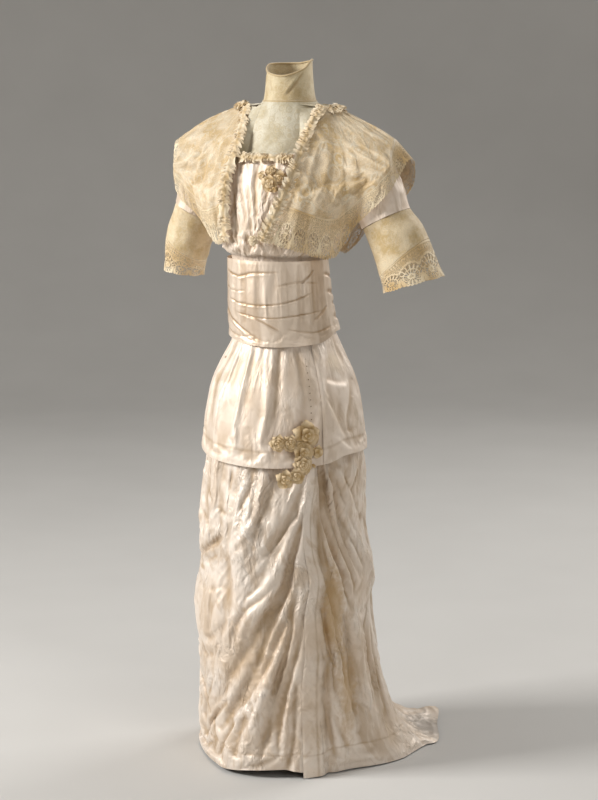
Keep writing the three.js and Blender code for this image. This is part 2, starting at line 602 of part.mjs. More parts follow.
function bodicePanel(from, to, top, cols) {
  const at = (u, v) => {
    const angle = lerp(from, to, u);
    const height = sample(top, "t", angle).z;
    const above = lerp(height, NIP.z, v / NIP.share);
    const below = lerp(NIP.z, BODICE_FOOT, (v - NIP.share) / (1 - NIP.share));
    return onBodice(angle, v < NIP.share ? above : below);
  };
  return wall({ us: steps(cols), vs: BODICE_ROWS, at });
}
const { front: FRONT_SIDE, back: BACK_SIDE } = BODICE_SIDE;
add("bodice_front", "satin", bodicePanel(-FRONT_SIDE, FRONT_SIDE, BODICE_FRONT_TOP, 26));
add("bodice_back", "satin", bodicePanel(BACK_SIDE, 360 - BACK_SIDE, BODICE_BACK_TOP, 13));

// ---------------------------------------------------------------- collar and yoke

const collarPoint = (u, v) => {
  const angle = lerp(-180, 180, u);
  return onBody(COLLAR, angle, lerp(sample(COLLAR_TOP, "t", angle).z, COLLAR_FOOT, v));
};
const NECK_GRID = { us: steps(20), round: true, thick: NET_CLOTH };
add("collar", "yoke", wall({ ...NECK_GRID, vs: steps(3), at: collarPoint }));

const yokePoint = (u, v) => {
  const angle = lerp(-180, 180, u);
  const front = smoothstep(Math.cos(degToRad(angle)), -0.2, 0.5);
  return onOval(sample(YOKE, "v", v * lerp(YOKE_BACK_SHARE, 1, front)), angle);
};
add("chemisette", "yoke", wall({ ...NECK_GRID, vs: steps(4), at: yokePoint }));

// ---------------------------------------------------------------- sleeves and cuffs

/** Point on a sleeve: turn in degrees (0 front, 90 outer side), place down it in rings. */
function onSleeve(rings, side, turn, place) {
  const ring = sample(rings, "s", place);
  const lean = degToRad(ring.lean);
  const across = ring.half * Math.sin(degToRad(turn));
  const x = ring.x + across * Math.cos(lean);
  const y = ring.y - ring.deep * Math.cos(degToRad(turn));
  return new THREE.Vector3(side * x, y, ring.z + across * Math.sin(lean));
}

/** Place of the cuff's seam, which is higher on the outer side of the arm. */
const cuffStart = (turn) => {
  const outward = 0.5 + 0.5 * Math.sin(degToRad(turn));
  return lerp(CUFF_START.inner, CUFF_START.outer, outward);
};

function sleeveTube(rings, side, start, end, rows) {
  const at = (u, v) => {
    const turn = side * lerp(0, 360, u);
    return onSleeve(rings, side, turn, lerp(start(turn), end(turn), v));
  };
  return wall({ us: steps(14), vs: steps(rows), at, round: true });
}

/** Knots of a lace strip: each repeat holds the pattern's columns. */
const laceKnots = (repeats) => [
  ...Array.from({ length: repeats }, (_, k) => LACE.along.map((a) => (k + a) / repeats)).flat(),
  1,
];
const laceOpen = (i, j) => LACE.open.includes(`${i % LACE.along.length},${j}`);

/** Share of its full width that the lace reaches at a place along it. */
function scallop(share, repeats) {
  const bow = Math.abs(Math.sin(Math.PI * repeats * share)) ** LACE.roundness;
  return 1 - LACE.scallop * (1 - bow);
}

/** Half of a lace cuff, from one turn of the arm to another. */
function cuffHalf(rings, side, from, to) {
  const end = rings.length - 1;
  const at = (u, v) => {
    const turn = side > 0 ? lerp(from, to, u) : lerp(to, from, u);
    const start = cuffStart(turn) + CUFF_GAP.rings;
    return onSleeve(rings, side, turn, lerp(start, end, v * scallop(u, LACE_REPEATS.cuff)));
  };
  return wall({ us: laceKnots(LACE_REPEATS.cuff), vs: LACE.across, at, open: laceOpen });
}

for (const [word, side, rings] of [["left", 1, SLEEVE_LEFT], ["right", -1, SLEEVE_RIGHT]]) {
  const satinEnd = () => SLEEVE_SEAM - SLEEVE_GAP;
  const netStart = () => SLEEVE_SEAM + SLEEVE_GAP;
  const gap = CUFF_GAP.degrees;
  add(`satin_sleeve_${word}`, "satin", sleeveTube(rings, side, () => 0, satinEnd, 5));
  add(`net_sleeve_${word}`, "net", sleeveTube(rings, side, netStart, cuffStart, 4));
  add(`cuff_${word}_outer`, "lace", cuffHalf(rings, side, gap, 180 - gap));
  add(`cuff_${word}_inner`, "lace", cuffHalf(rings, side, 180 + gap, 360 - gap));
}

// ---------------------------------------------------------------- net over-bodice and its lace

const PLACES = ["neck", "upper", "lower", "edge"];

/** Point of the over-bodice: side (1 left, -1 right), place round it in ribs, share from neck to edge. */
function onNet(side, rib, share) {
  const pickRib = (k) => (side < 0 && RIGHT_RIBS[k]) || RIBS[k];
  const across = PLACES.map((place) => {
    const row = RIBS.map((_, k) => new THREE.Vector3(...pickRib(k)[place]));
    row.push(new THREE.Vector3(-RIBS[LAST_RIB - 1][place][0], ...RIBS[LAST_RIB - 1][place].slice(1)));
    return blend(row, rib);
  });
  const point = blend(across, share * (PLACES.length - 1));
  const { count, depth, slant, below, full } = NET_FOLDS;
  const wave = Math.sin(rib * count + slant * share * side);
  const fold = depth * Math.sin(Math.PI * share) * wave * (1 - smoothstep(point.z, full, below));
  const level = new THREE.Vector3(point.x, point.y, 0).normalize();
  point.addScaledVector(level, fold);
  point.x *= side;
  return point;
}

/** Rib and side at a share across a piece: fronts run from front edge to seam, the back across. */
const PANELS = {
  left: (u) => [1, lerp(0, BACK_SEAM - BACK_GAP, u)],
  right: (u) => [-1, lerp(BACK_SEAM - BACK_GAP, 0, u)],
  back: (u) => {
    const half = (LAST_RIB - BACK_SEAM) * 2 * u;
    const span = LAST_RIB - BACK_SEAM;
    return half <= span ? [1, BACK_SEAM + half] : [-1, LAST_RIB - (half - span)];
  },
};

for (const [word, panel] of Object.entries(PANELS)) {
  const point = (u, share) => {
    const [side, rib] = panel(u);
    return onNet(side, rib, share);
  };
  const repeats = word === "back" ? LACE_REPEATS.back : LACE_REPEATS.front;
  const us = laceKnots(repeats);
  const net = (u, v) => point(u, v * (LACE_START - LACE_GAP));
  const lace = (u, v) => point(u, lerp(LACE_START, 1, v * scallop(u, repeats)));
  add(`bolero_${word}`, "net", wall({ us, vs: steps(4), at: net }));
  add(`lace_edge_${word}`, "lace", wall({ us, vs: LACE.across, at: lace, open: laceOpen }));
}

// ---------------------------------------------------------------- ruched strips

/** Strip gathered along a path; `frame` gives its middle, its outward normal and its way across. */
function ruche(length, frame) {
  const { width, wave, spacing, lift, thick, skew, columns } = RUCHE;
  const gathers = Math.round(length / spacing);
  const at = (u, v) => {
    const { middle, normal, across } = frame(u);
    const off = v - 0.5;
    const frill = 0.5 + Math.abs(off);
    const rise = lift + wave * frill * Math.sin(2 * Math.PI * u * gathers + skew * off);
    return middle.addScaledVector(across, width * off).addScaledVector(normal, rise);
  };
  return wall({ us: steps(gathers * columns), vs: steps(2), at, thick });
}

/** Frame of a path on a surface: its own points, and points a little to the side of them. */
function frameOn(point, beside) {
  return (u) => {
    const middle = point(u);
    const ahead = point(u + 0.01).sub(point(u - 0.01)).normalize();
    const normal = ahead.clone().cross(beside(u).sub(middle)).normalize();
    return { middle, normal, across: ahead.clone().cross(normal).normalize() };
  };
}

/** Places on the over-bodice and just inside it, for a route given as side, rib and share. */
function netFrame(route, step) {
  const point = (u) => onNet(...route(u));
  const inside = (u) => {
    const [side, rib, share] = route(u);
    return onNet(side, rib + step.rib, share + step.share);
  };
  return frameOn(point, (u) => point(u).multiplyScalar(2).sub(inside(u)));
}

const FRONT_EDGE = { start: 0.03, end: 0.99 };
const upLeft = (u) => [1, 0.02, lerp(FRONT_EDGE.end, FRONT_EDGE.start, u)];
const downRight = (u) => [-1, 0.02, lerp(FRONT_EDGE.start, FRONT_EDGE.end, u)];
const BACK_RUCHE = { rib: 1.4, share: 0.05 };
const roundNeck = (u) => {
  const rib = BACK_RUCHE.rib + 2 * (LAST_RIB - BACK_RUCHE.rib) * u;
  const [side, near] = rib <= LAST_RIB ? [1, rib] : [-1, 2 * LAST_RIB - rib];
  return [side, near, BACK_RUCHE.share];
};
const ACROSS = { rib: 0.3, share: 0 };
const DOWN = { rib: 0, share: 0.1 };
add("ruffle_left", "ruche", ruche(RUCHE_LENGTH.left, netFrame(upLeft, ACROSS)));
add("ruffle_right", "ruche", ruche(RUCHE_LENGTH.right, netFrame(downRight, ACROSS)));
add("ruffle_back", "ruche", ruche(RUCHE_LENGTH.back, netFrame(roundNeck, DOWN)));

const NECKLINE = { from: -24, to: 21, z: 1204, above: 12 };
const alongNeck = (u) => lerp(NECKLINE.from, NECKLINE.to, u);
const neckline = (u) => onBodice(alongNeck(u), NECKLINE.z);
const aboveNeckline = (u) => onBodice(alongNeck(u), NECKLINE.z + NECKLINE.above);
add("ruffle_neck", "ruche", ruche(RUCHE_LENGTH.neck, frameOn(neckline, aboveNeckline)));

// ---------------------------------------------------------------- cloth flowers

// Profile of a cloth flower from the middle of its underside to the middle of its top, in radii.
const FLOWER_PROFILE = [
  { r: 0, h: -0.2 },
  { r: 0.75, h: -0.2 },
  { r: 1, h: 0.02 },
  { r: 0.62, h: 0.3 },
  { r: 0.5, h: 0.16 },
  { r: 0.24, h: 0.42 },
  { r: 0, h: 0.34 },
];
const FLOWER_SIDES = 10;
const FLOWER_LOBE = 0.1;

/** Flower of waved rings, its back toward the body's middle. */
function flower({ t, z, r, lobes, lift }, surface) {
  const profile = FLOWER_PROFILE.map((p) => new THREE.Vector2(p.r * r, p.h * r));
  const geometry = new THREE.LatheGeometry(profile, FLOWER_SIDES);
  const place = geometry.attributes.position;
  for (let k = 0; k < place.count; k += 1) {
    const turn = Math.atan2(place.getZ(k), place.getX(k));
    const swell = 1 + FLOWER_LOBE * Math.cos(lobes * turn);
    place.setX(k, place.getX(k) * swell);
    place.setZ(k, place.getZ(k) * swell);
  }
  geometry.rotateX(Math.PI);
  geometry.rotateZ(degToRad(t));
  const middle = surface(t, z);
  const turn = degToRad(t);
  geometry.translate(middle.x + lift * Math.sin(turn), middle.y - lift * Math.cos(turn), z);
  return geometry;
}

function toManifold(geometry) {
  const bare = geometry.clone();
  bare.deleteAttribute("normal");
  bare.deleteAttribute("uv");
  const merged = mergeVertices(bare, 1e-3);
  const vertProperties = new Float32Array(merged.attributes.position.array);
  const triVerts = new Uint32Array(merged.index.array);
  return new wasm.Manifold(new wasm.Mesh({ numProp: 3, vertProperties, triVerts }));
}

/** Cluster of flowers joined into one piece. */
function corsage(flowers, surface) {
  const solids = flowers.map((row) => toManifold(flower(row, surface)));
  const mesh = solids.reduce((whole, next) => whole.add(next)).getMesh();
  return toGeometry(Array.from(mesh.vertProperties), Array.from(mesh.triVerts));
}
add("corsage_neck", "flower", corsage(NECK_FLOWERS, onBodice));
add("corsage_skirt", "flower", corsage(SKIRT_FLOWERS, (t, z) => onBody(SKIRT, t, z)));

dress.position.z = -SHOULDER_HEIGHT;
export default dress;
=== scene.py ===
"""Looks of a wedding dress of about 1912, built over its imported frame.

The dress is silk satin, net and lace: under-bodice, sash, overskirt and draped wrap skirt with a small
train, net over-bodice edged with lace, net sleeves with lace cuffs, collar and yoke, ruched strips and
cloth flowers. Sizes are in millimetres above the floor; +X is the wearer's left and -Y the front.
"""

import logging
import math
from dataclasses import dataclass, field
from enum import Enum
from typing import Callable, Sequence

import bmesh
import bpy
import numpy as np
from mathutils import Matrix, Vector


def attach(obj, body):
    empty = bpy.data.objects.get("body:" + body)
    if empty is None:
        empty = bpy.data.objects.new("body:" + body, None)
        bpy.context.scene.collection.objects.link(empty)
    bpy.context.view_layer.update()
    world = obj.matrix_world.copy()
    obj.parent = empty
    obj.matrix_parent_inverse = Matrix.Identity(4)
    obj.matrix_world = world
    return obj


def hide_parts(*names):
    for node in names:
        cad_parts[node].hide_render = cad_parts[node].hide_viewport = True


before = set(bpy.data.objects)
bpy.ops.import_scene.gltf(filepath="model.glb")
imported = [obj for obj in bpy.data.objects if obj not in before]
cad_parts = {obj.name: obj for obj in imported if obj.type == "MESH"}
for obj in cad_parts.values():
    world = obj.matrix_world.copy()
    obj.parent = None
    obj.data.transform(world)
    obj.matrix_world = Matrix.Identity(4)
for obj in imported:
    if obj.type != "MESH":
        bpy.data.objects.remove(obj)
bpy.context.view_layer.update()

logging.basicConfig(level=logging.INFO, format="%(message)s")
log = logging.getLogger("wedding_dress")

Array = np.ndarray
Value = Array | float
Finish = bpy.types.Material
Piece = bpy.types.Object
Socket = bpy.types.NodeSocket
Input = Socket | float | tuple
SHOULDER_HEIGHT = 1300.0
MM = 0.001
MERGE = 1e-5
TURN = 2 * math.pi


# --- small mathematics


def smooth(x: Value, low: float, high: float) -> Array:
    """Soft step from 0 at `low` to 1 at `high`."""
    k = np.clip((np.asarray(x, float) - low) / (high - low), 0, 1)
    return k * k * (3 - 2 * k)


def bell(x: Array, middle: float, width: float) -> Array:
    """Bell curve, 1 at `middle` and fading over `width`."""
    return np.exp(-(((x - middle) / width) ** 2))


def mix(a: Value, b: Value, k: Value) -> Array:
    """Value between `a` and `b`."""
    return a + (b - a) * k


class Table:
    """Rows of named sizes, read along a smooth curve that never overshoots its rows."""

    def __init__(self, columns: str, *rows: tuple[float, ...]) -> None:
        """Works out the curve's slopes; the names in `columns` stand in order."""
        self.names = columns.split()
        self.rows = np.array(rows, float)
        key, values = self.rows[:, :1], self.rows[:, 1:]
        rise = np.diff(values, axis=0) / np.diff(key, axis=0)
        both = rise[:-1] * rise[1:]
        inner = np.where(both > 0, 2 * both / np.where(both > 0, rise[:-1] + rise[1:], 1), 0)
        self.slopes = np.vstack([rise[:1], inner, rise[-1:]])

    def at(self, where: Value) -> dict[str, Array]:
        """Sizes at places along the first column.

        Args:
            where: Values of the first column.

        Returns:
            Every other column's values there, by name.
        """
        key = self.rows[:, 0]
        x = np.clip(np.asarray(where, float), key[0], key[-1])
        i = np.clip(np.searchsorted(key, x, side="right") - 1, 0, len(key) - 2)
        span = key[i + 1] - key[i]
        k = ((x - key[i]) / span)[..., None]
        width = span[..., None]
        y0, y1 = self.rows[i, 1:], self.rows[i + 1, 1:]
        m0, m1 = self.slopes[i] * width, self.slopes[i + 1] * width
        rows = (2 * k**3 - 3 * k**2 + 1) * y0 + (k**3 - 2 * k**2 + k) * m0
        rows = rows + (3 * k**2 - 2 * k**3) * y1 + (k**3 - k**2) * m1
        return {name: rows[..., n] for n, name in enumerate(self.names[1:])}


def sizes(columns: str, *rows: tuple[float, ...]) -> Table:
    """Dataclass field that holds a table of sizes."""
    return field(default_factory=lambda: Table(columns, *rows))


def on_oval(oval: dict[str, Array], angle: Array, z: Array, out: Value = 0) -> Array:
    """Points on oval sections at angles round the body, moved out by a distance."""
    turn = np.radians(angle)
    depth = np.where(np.cos(turn) > 0, oval["f"], oval["b"])
    x = oval["cx"] + (oval["a"] + out) * np.sin(turn)
    y = oval["cy"] - (depth + out) * np.cos(turn)
    return np.stack(np.broadcast_arrays(x, y, z), axis=-1)


# Steps from a stretch's first knot to the four knots that shape the stretch.
AROUND = (-1, 0, 1, 2)


def through(p0: Array, p1: Array, p2: Array, p3: Array, k: Array) -> Array:
    """Place at share `k` of the way from `p1` to `p2`, on a smooth curve through all four."""
    bend = (2 * p0 - 5 * p1 + 4 * p2 - p3) * k + (3 * p1 - p0 - 3 * p2 + p3) * k * k
    return p1 + 0.5 * k * (p2 - p0 + bend)


def blend(knots: Array, where: Array) -> Array:
    """Catmull-Rom curve through knots (first axis), at places counted in knots."""
    last = len(knots) - 1
    i = np.clip(np.floor(where).astype(int), 0, last - 1)
    k = (where - i)[..., None]
    return through(*(knots[np.clip(i + step, 0, last)] for step in AROUND), k)


def softened(values: Array, columns: float, rows: float) -> Array:
    """Values over a grid, softened over so many columns and rows."""
    for axis, spread in ((0, rows), (1, columns)):
        reach = int(3 * spread)
        weights = np.exp(-0.5 * (np.arange(-reach, reach + 1) / spread) ** 2)
        sides = [(reach, reach) if n == axis else (0, 0) for n in range(values.ndim)]
        padded = np.pad(values, sides, mode="edge")
        span = np.arange(values.shape[axis])
        values = sum(w * padded.take(span + k, axis) for k, w in enumerate(weights / weights.sum()))
    return values


def finer(values: Array, times: int = 2) -> Array:
    """Values over a grid with `times` as many columns and rows, on a smooth curve through them."""
    for _ in range(2):
        rows = values.shape[0]
        where = np.linspace(0, rows - 1, (rows - 1) * times + 1)
        values = blend(values.reshape(rows, -1), where).reshape((len(where),) + values.shape[1:])
        values = np.swapaxes(values, 0, 1)
    return values


class SoftNoise:
    """Smooth seeded noise over two lengths, from -1 to 1."""

    SIZE = 64

    def __init__(self, seed: int) -> None:
        """Draws the lattice."""
        self.lattice = np.random.default_rng(seed).uniform(-1, 1, (self.SIZE, self.SIZE))

    def at(self, x: Array, y: Array) -> Array:
        """Noise at places given in lattice cells."""
        x, y = np.broadcast_arrays(np.asarray(x, float), np.asarray(y, float))
        i, j = np.floor(x).astype(int), np.floor(y).astype(int)
        u, v = smooth(x - i, 0, 1), smooth(y - j, 0, 1)
        n = self.SIZE
        a, b = self.lattice[i % n, j % n], self.lattice[(i + 1) % n, j % n]
        c, d = self.lattice[i % n, (j + 1) % n], self.lattice[(i + 1) % n, (j + 1) % n]
        return mix(mix(a, b, u), mix(c, d, u), v)

    def ridge(self, x: Array, y: Array) -> Array:
        """Noise with narrow crests, from 0 to 1."""
        return (1 - np.abs(self.at(x, y))) ** 3


@dataclass(frozen=True)
class Crease:
    """Soft trough along a curve laid on a surface, with a low ridge beside it.

    `path` holds places on the surface: the angle round the body and the height. A negative depth
    makes it a ridge. `lip` is the ridge's share of the depth, on the side that its sign gives.
    """

    path: tuple[tuple[float, float], ...]
    depth: float
    width: float
    lip: float = 0.4

    # Straight stretches between two places of the path; the lip's place and width, in widths.
    STEPS = 6
    LIP_AT = 1.7
    LIP_WIDTH = 1.1

    def draw(self, angle: Array, z: Array, radius: float) -> Array:
        """How far the cloth is drawn in at each place."""
        arc = math.radians(radius)
        knots = np.array(self.path, float) * (arc, 1)
        count = self.STEPS * (len(knots) - 1)
        line = blend(knots, np.linspace(0, len(knots) - 1, count + 1))
        here = np.stack(np.broadcast_arrays(angle * arc, z), axis=-1)
        best = np.full(here.shape[:-1], np.inf)
        signed = np.zeros_like(best)
        share = np.zeros_like(best)
        for n, (a, b) in enumerate(zip(line[:-1], line[1:])):
            ab = b - a
            k = ((here - a) @ ab) / (ab @ ab)
            near = a + np.clip(k, 0, 1)[..., None] * ab
            gap = here - near
            length = np.hypot(gap[..., 0], gap[..., 1])
            side = np.sign(gap[..., 0] * ab[1] - gap[..., 1] * ab[0])
            closer = length < best
            best = np.where(closer, length, best)
            signed = np.where(closer, side * length, signed)
            share = np.where(closer, (n + np.clip(k, 0, 1)) / count, share)
        fade = smooth(share, -0.04, 0.2) * (1 - smooth(share, 0.75, 1.04))
        trough = bell(best, 0, self.width)
        beside = bell(signed / self.width, math.copysign(self.LIP_AT, self.lip), self.LIP_WIDTH)
        return self.depth * fade * (trough - abs(self.lip) * beside)


def drawn_in(creases: Sequence[Crease], angle: Array, z: Array, radius: float) -> Array:
    """How far a set of creases draws the cloth in."""
    return sum((crease.draw(angle, z, radius) for crease in creases), np.zeros(np.shape(z)))


# --- sheets of cloth

Surface = Callable[[Array, Array], Array]


class Sheet:
    """A sheet of cloth as a grid of points, columns toward the wearer's left and rows down."""

    def __init__(self, surface: Surface, columns: int, rows: int, closed: bool = False) -> None:
        """Lays the sheet on a surface; a closed one meets itself at its sides."""
        self.columns, self.rows, self.closed = columns, rows, closed
        self.u, self.v = np.meshgrid(np.linspace(0, 1, columns + 1), np.linspace(0, 1, rows + 1))
        self.points = surface(self.u, self.v)
        self.wear_and_shade = np.zeros_like(self.u)

    def normals(self) -> Array:
        """Unit normals, out of the cloth."""
        along = np.gradient(self.points, axis=1)
        down = np.gradient(self.points, axis=0)
        if self.closed:
            along[:, 0] = along[:, -1] = self.points[:, 1] - self.points[:, -2]
        normal = np.cross(down, along)
        return normal / np.maximum(np.linalg.norm(normal, axis=-1, keepdims=True), 1e-9)

    def push(self, amount: Array) -> "Sheet":
        """Moves the cloth out along its normals, by millimetres."""
        self.points = self.points + self.normals() * amount[..., None]
        return self

    def inside(self, reach: float) -> Array:
        """Soft step from 0 at both side edges to 1 inside them."""
        return smooth(self.u, 0, reach) * smooth(1 - self.u, 0, reach)

    def between(self, reach: float) -> Array:
        """Soft step from 0 at the upper and lower edges to 1 between them."""
        return smooth(self.v, 0, reach) * smooth(1 - self.v, 0, reach)

    def lengths(self) -> tuple[Array, Array]:
        """Distances along the sheet's middle row and down its middle column, in metres."""
        middle_row = self.points[self.rows // 2]
        middle_column = self.points[:, self.columns // 2]
        return tuple(
            np.concatenate([[0], np.cumsum(np.linalg.norm(np.diff(line, axis=0), axis=1))]) * MM
            for line in (middle_row, middle_column)
        )

    def refined(self, times: int = 2) -> "Sheet":
        """Makes the grid finer along smooth curves."""
        self.points, self.wear_and_shade = finer(self.points, times), np.clip(finer(self.wear_and_shade, times), 0, 1)
        self.columns, self.rows = self.columns * times, self.rows * times
        self.u, self.v = np.meshgrid(np.linspace(0, 1, self.columns + 1), np.linspace(0, 1, self.rows + 1))
        return self

    def shade_hollows(self, form: Array, depth: float, spread: float = 4) -> "Sheet":
        """Darkens the cloth where it lies in a hollow of its own, beside the form it was given: painted
        shade, with the tan of age.
        """
        offset = np.sum((self.points - form) * self.normals(), axis=-1)
        self.wear_and_shade = np.clip((softened(offset, spread, spread) - offset) / depth, 0, 1)
        return self

    def grid(self, name: str) -> tuple[bpy.types.Mesh, Array, Array]:
        """Makes the sheet's mesh.

        Args:
            name: The mesh's name.

        Returns:
            The mesh, and each vertex's column and row.
        """
        grid = bmesh.new()
        bmesh.ops.create_grid(grid, x_segments=self.columns, y_segments=self.rows, size=0.5)
        mesh = bpy.data.meshes.new(name)
        grid.to_mesh(mesh)
        grid.free()
        flat = np.empty(len(mesh.vertices) * 3)
        mesh.vertices.foreach_get("co", flat)
        flat = flat.reshape(-1, 3)
        low, high = flat.min(axis=0), flat.max(axis=0)
        i = np.rint((flat[:, 0] - low[0]) / (high[0] - low[0]) * self.columns).astype(int)
        j = np.rint((high[1] - flat[:, 1]) / (high[1] - low[1]) * self.rows).astype(int)
        mesh.vertices.foreach_set("co", to_metres(self.points[j, i]).ravel())
        return mesh, i, j

    def build(self, name: str, repeat: tuple[float, float] | None = None) -> Piece:
        """Makes the sheet's mesh object.

        Args:
            name: The piece's name.
            repeat: Repeats of a border's pattern along and across it, where its UV counts those
                instead of metres.

        Returns:
            The new object, at the origin, smooth shaded.
        """
        mesh, i, j = self.grid(name)
        along, down = self.lengths()
        if repeat:
            along = np.linspace(0, repeat[0], self.columns + 1)
            down = np.linspace(0, repeat[1], self.rows + 1)
        corner = np.empty(len(mesh.loops), int)
        mesh.loops.foreach_get("vertex_index", corner)
        uv = mesh.uv_layers.new(name="cloth")
        uv.data.foreach_set("uv", np.stack([along[i[corner]], -down[j[corner]]], axis=1).ravel())
        # Painted shade in hollows and creases, with the tan of age, one value per point.
        wear_and_shade = mesh.attributes.new("wear_and_shade", "FLOAT", "POINT")
        wear_and_shade.data.foreach_set("value", self.wear_and_shade[j, i].astype(np.float32))
        if self.closed:
            tube = bmesh.new()
            tube.from_mesh(mesh)
            bmesh.ops.remove_doubles(tube, verts=tube.verts, dist=MERGE)
            tube.to_mesh(mesh)
            tube.free()
        mesh.shade_smooth()
        return add_object(name, mesh)


def add_object(name: str, data: bpy.types.ID) -> Piece:
    """New object in the scene, at the origin."""
    made = bpy.data.objects.new(name, data)
    bpy.context.scene.collection.objects.link(made)
    return made


def to_metres(points: Array) -> Array:
    """Heights above the floor in millimetres to the frame's metres."""
    return (points - (0, 0, SHOULDER_HEIGHT)) * MM


@dataclass(frozen=True)
class Settling:
    """Lets a sheet settle into small folds of its own, by cloth simulation, near the form it was given.

    The cloth is cut larger than its form by shares of its size round the body and down it. `slant`
    turns the spare cloth, in radians, so that the folds lean. What the simulation moves slowly over
    large stretches is mostly taken back, and nothing moves further than `reach`.
    """

    spare: float = 0.05
    spare_down: float = 0.02
    slant: float = 0.0
    radius: float = 168
    reach: float = 10
    bending: float = 0.1
    frames: int = 18
    hold: float = 0.02
    drift: float = 0.8
    drift_cells: float = 4

    def settle(self, sheet: Sheet, held: Array) -> Sheet:
        """Runs the simulation.

        Args:
            sheet: The sheet, whose points are moved.
            held: How firmly each place is held, from 0 to 1.

        Returns:
            The sheet.
        """
        start = sheet.points
        mesh, i, j = sheet.grid("settling")
        piece = add_object("settling", mesh)
        piece.shape_key_add(name="Basis")
        cut = piece.shape_key_add(name="cut")
        cut.data.foreach_set("co", to_metres(self.cut_larger(start))[j, i].ravel())
        group = piece.vertex_groups.new(name="hold")
        for number, weight in enumerate(np.maximum(held, self.hold)[j, i]):
            group.add([number], float(weight), "REPLACE")
        cloth = piece.modifiers.new("Cloth", "CLOTH")
        self.set_cloth(cloth, cut)
        for step in range(1, self.frames + 1):
            bpy.context.scene.frame_set(step)
        settled = piece.evaluated_get(bpy.context.evaluated_depsgraph_get()).to_mesh()
        flat = np.empty(len(settled.vertices) * 3)
        settled.vertices.foreach_get("co", flat)
        moved = np.zeros_like(start)
        moved[j, i] = flat.reshape(-1, 3) / MM + (0, 0, SHOULDER_HEIGHT)
        bpy.data.objects.remove(piece)
        bpy.context.scene.frame_set(1)
        move = moved - start
        move = move - self.drift * softened(move, self.drift_cells, self.drift_cells)
        far = np.maximum(np.linalg.norm(move, axis=-1, keepdims=True), 1e-6)
        firm = smooth(held, 0.3, 1)[..., None]
        sheet.points = start + move * np.tanh(far / self.reach) * self.reach / far * (1 - firm)
        return sheet

    def cut_larger(self, points: Array) -> Array:
        """The cloth before it settles, larger than its form."""
        distance = np.hypot(points[..., 0], points[..., 1])
        turn = np.unwrap(np.arctan2(points[..., 0], -points[..., 1]), axis=1)
        z = points[..., 2]
        level, steep = math.cos(self.slant), math.sin(self.slant)
        distance = distance * (1 + self.spare * level * level)
        across = level * turn * self.radius + steep * z
        rise = z * (1 + self.spare_down) + self.spare * steep * across
        turn = turn + self.spare * level * steep * z / self.radius
        return np.stack([distance * np.sin(turn), -distance * np.cos(turn), rise], axis=-1)

    def set_cloth(self, cloth: bpy.types.ClothModifier, cut: bpy.types.ShapeKey) -> None:
        """Makes the cloth a light, limp satin."""
        settings = cloth.settings
        settings.rest_shape_key = cut
        settings.quality = 5
        settings.mass = 0.15
        settings.tension_stiffness = settings.compression_stiffness = 15
        settings.shear_stiffness = 5
        settings.bending_stiffness = self.bending
        settings.vertex_group_mass = "hold"
        settings.air_damping = 2
        settings.effector_weights.gravity = 0.2
        cloth.collision_settings.use_collision = False
        cloth.collision_settings.use_self_collision = False


# --- materials


def linear(text: str) -> tuple[float, float, float, float]:
    """Linear colour from an sRGB hex string such as "e6dacb"."""
    shares = [int(text[k : k + 2], 16) / 255 for k in (0, 2, 4)]
    return (*[s / 12.92 if s <= 0.04045 else ((s + 0.055) / 1.055) ** 2.4 for s in shares], 1.0)


def add_node(tree: bpy.types.NodeTree, kind: str, inputs: dict | None = None, **settings) -> bpy.types.Node:
    """Adds a node.

    Args:
        tree: Node tree of the material.
        kind: Node type without its "ShaderNode" prefix.
        inputs: Sockets by name or number, each a value or another node's output socket.
        settings: The node's own properties.

    Returns:
        The new node.
    """
    node = tree.nodes.new("ShaderNode" + kind)
    for name, value in settings.items():
        setattr(node, name, value)
    for name, value in (inputs or {}).items():
        if isinstance(value, bpy.types.NodeSocket):
            tree.links.new(value, node.inputs[name])
        else:
            node.inputs[name].default_value = value
    return node


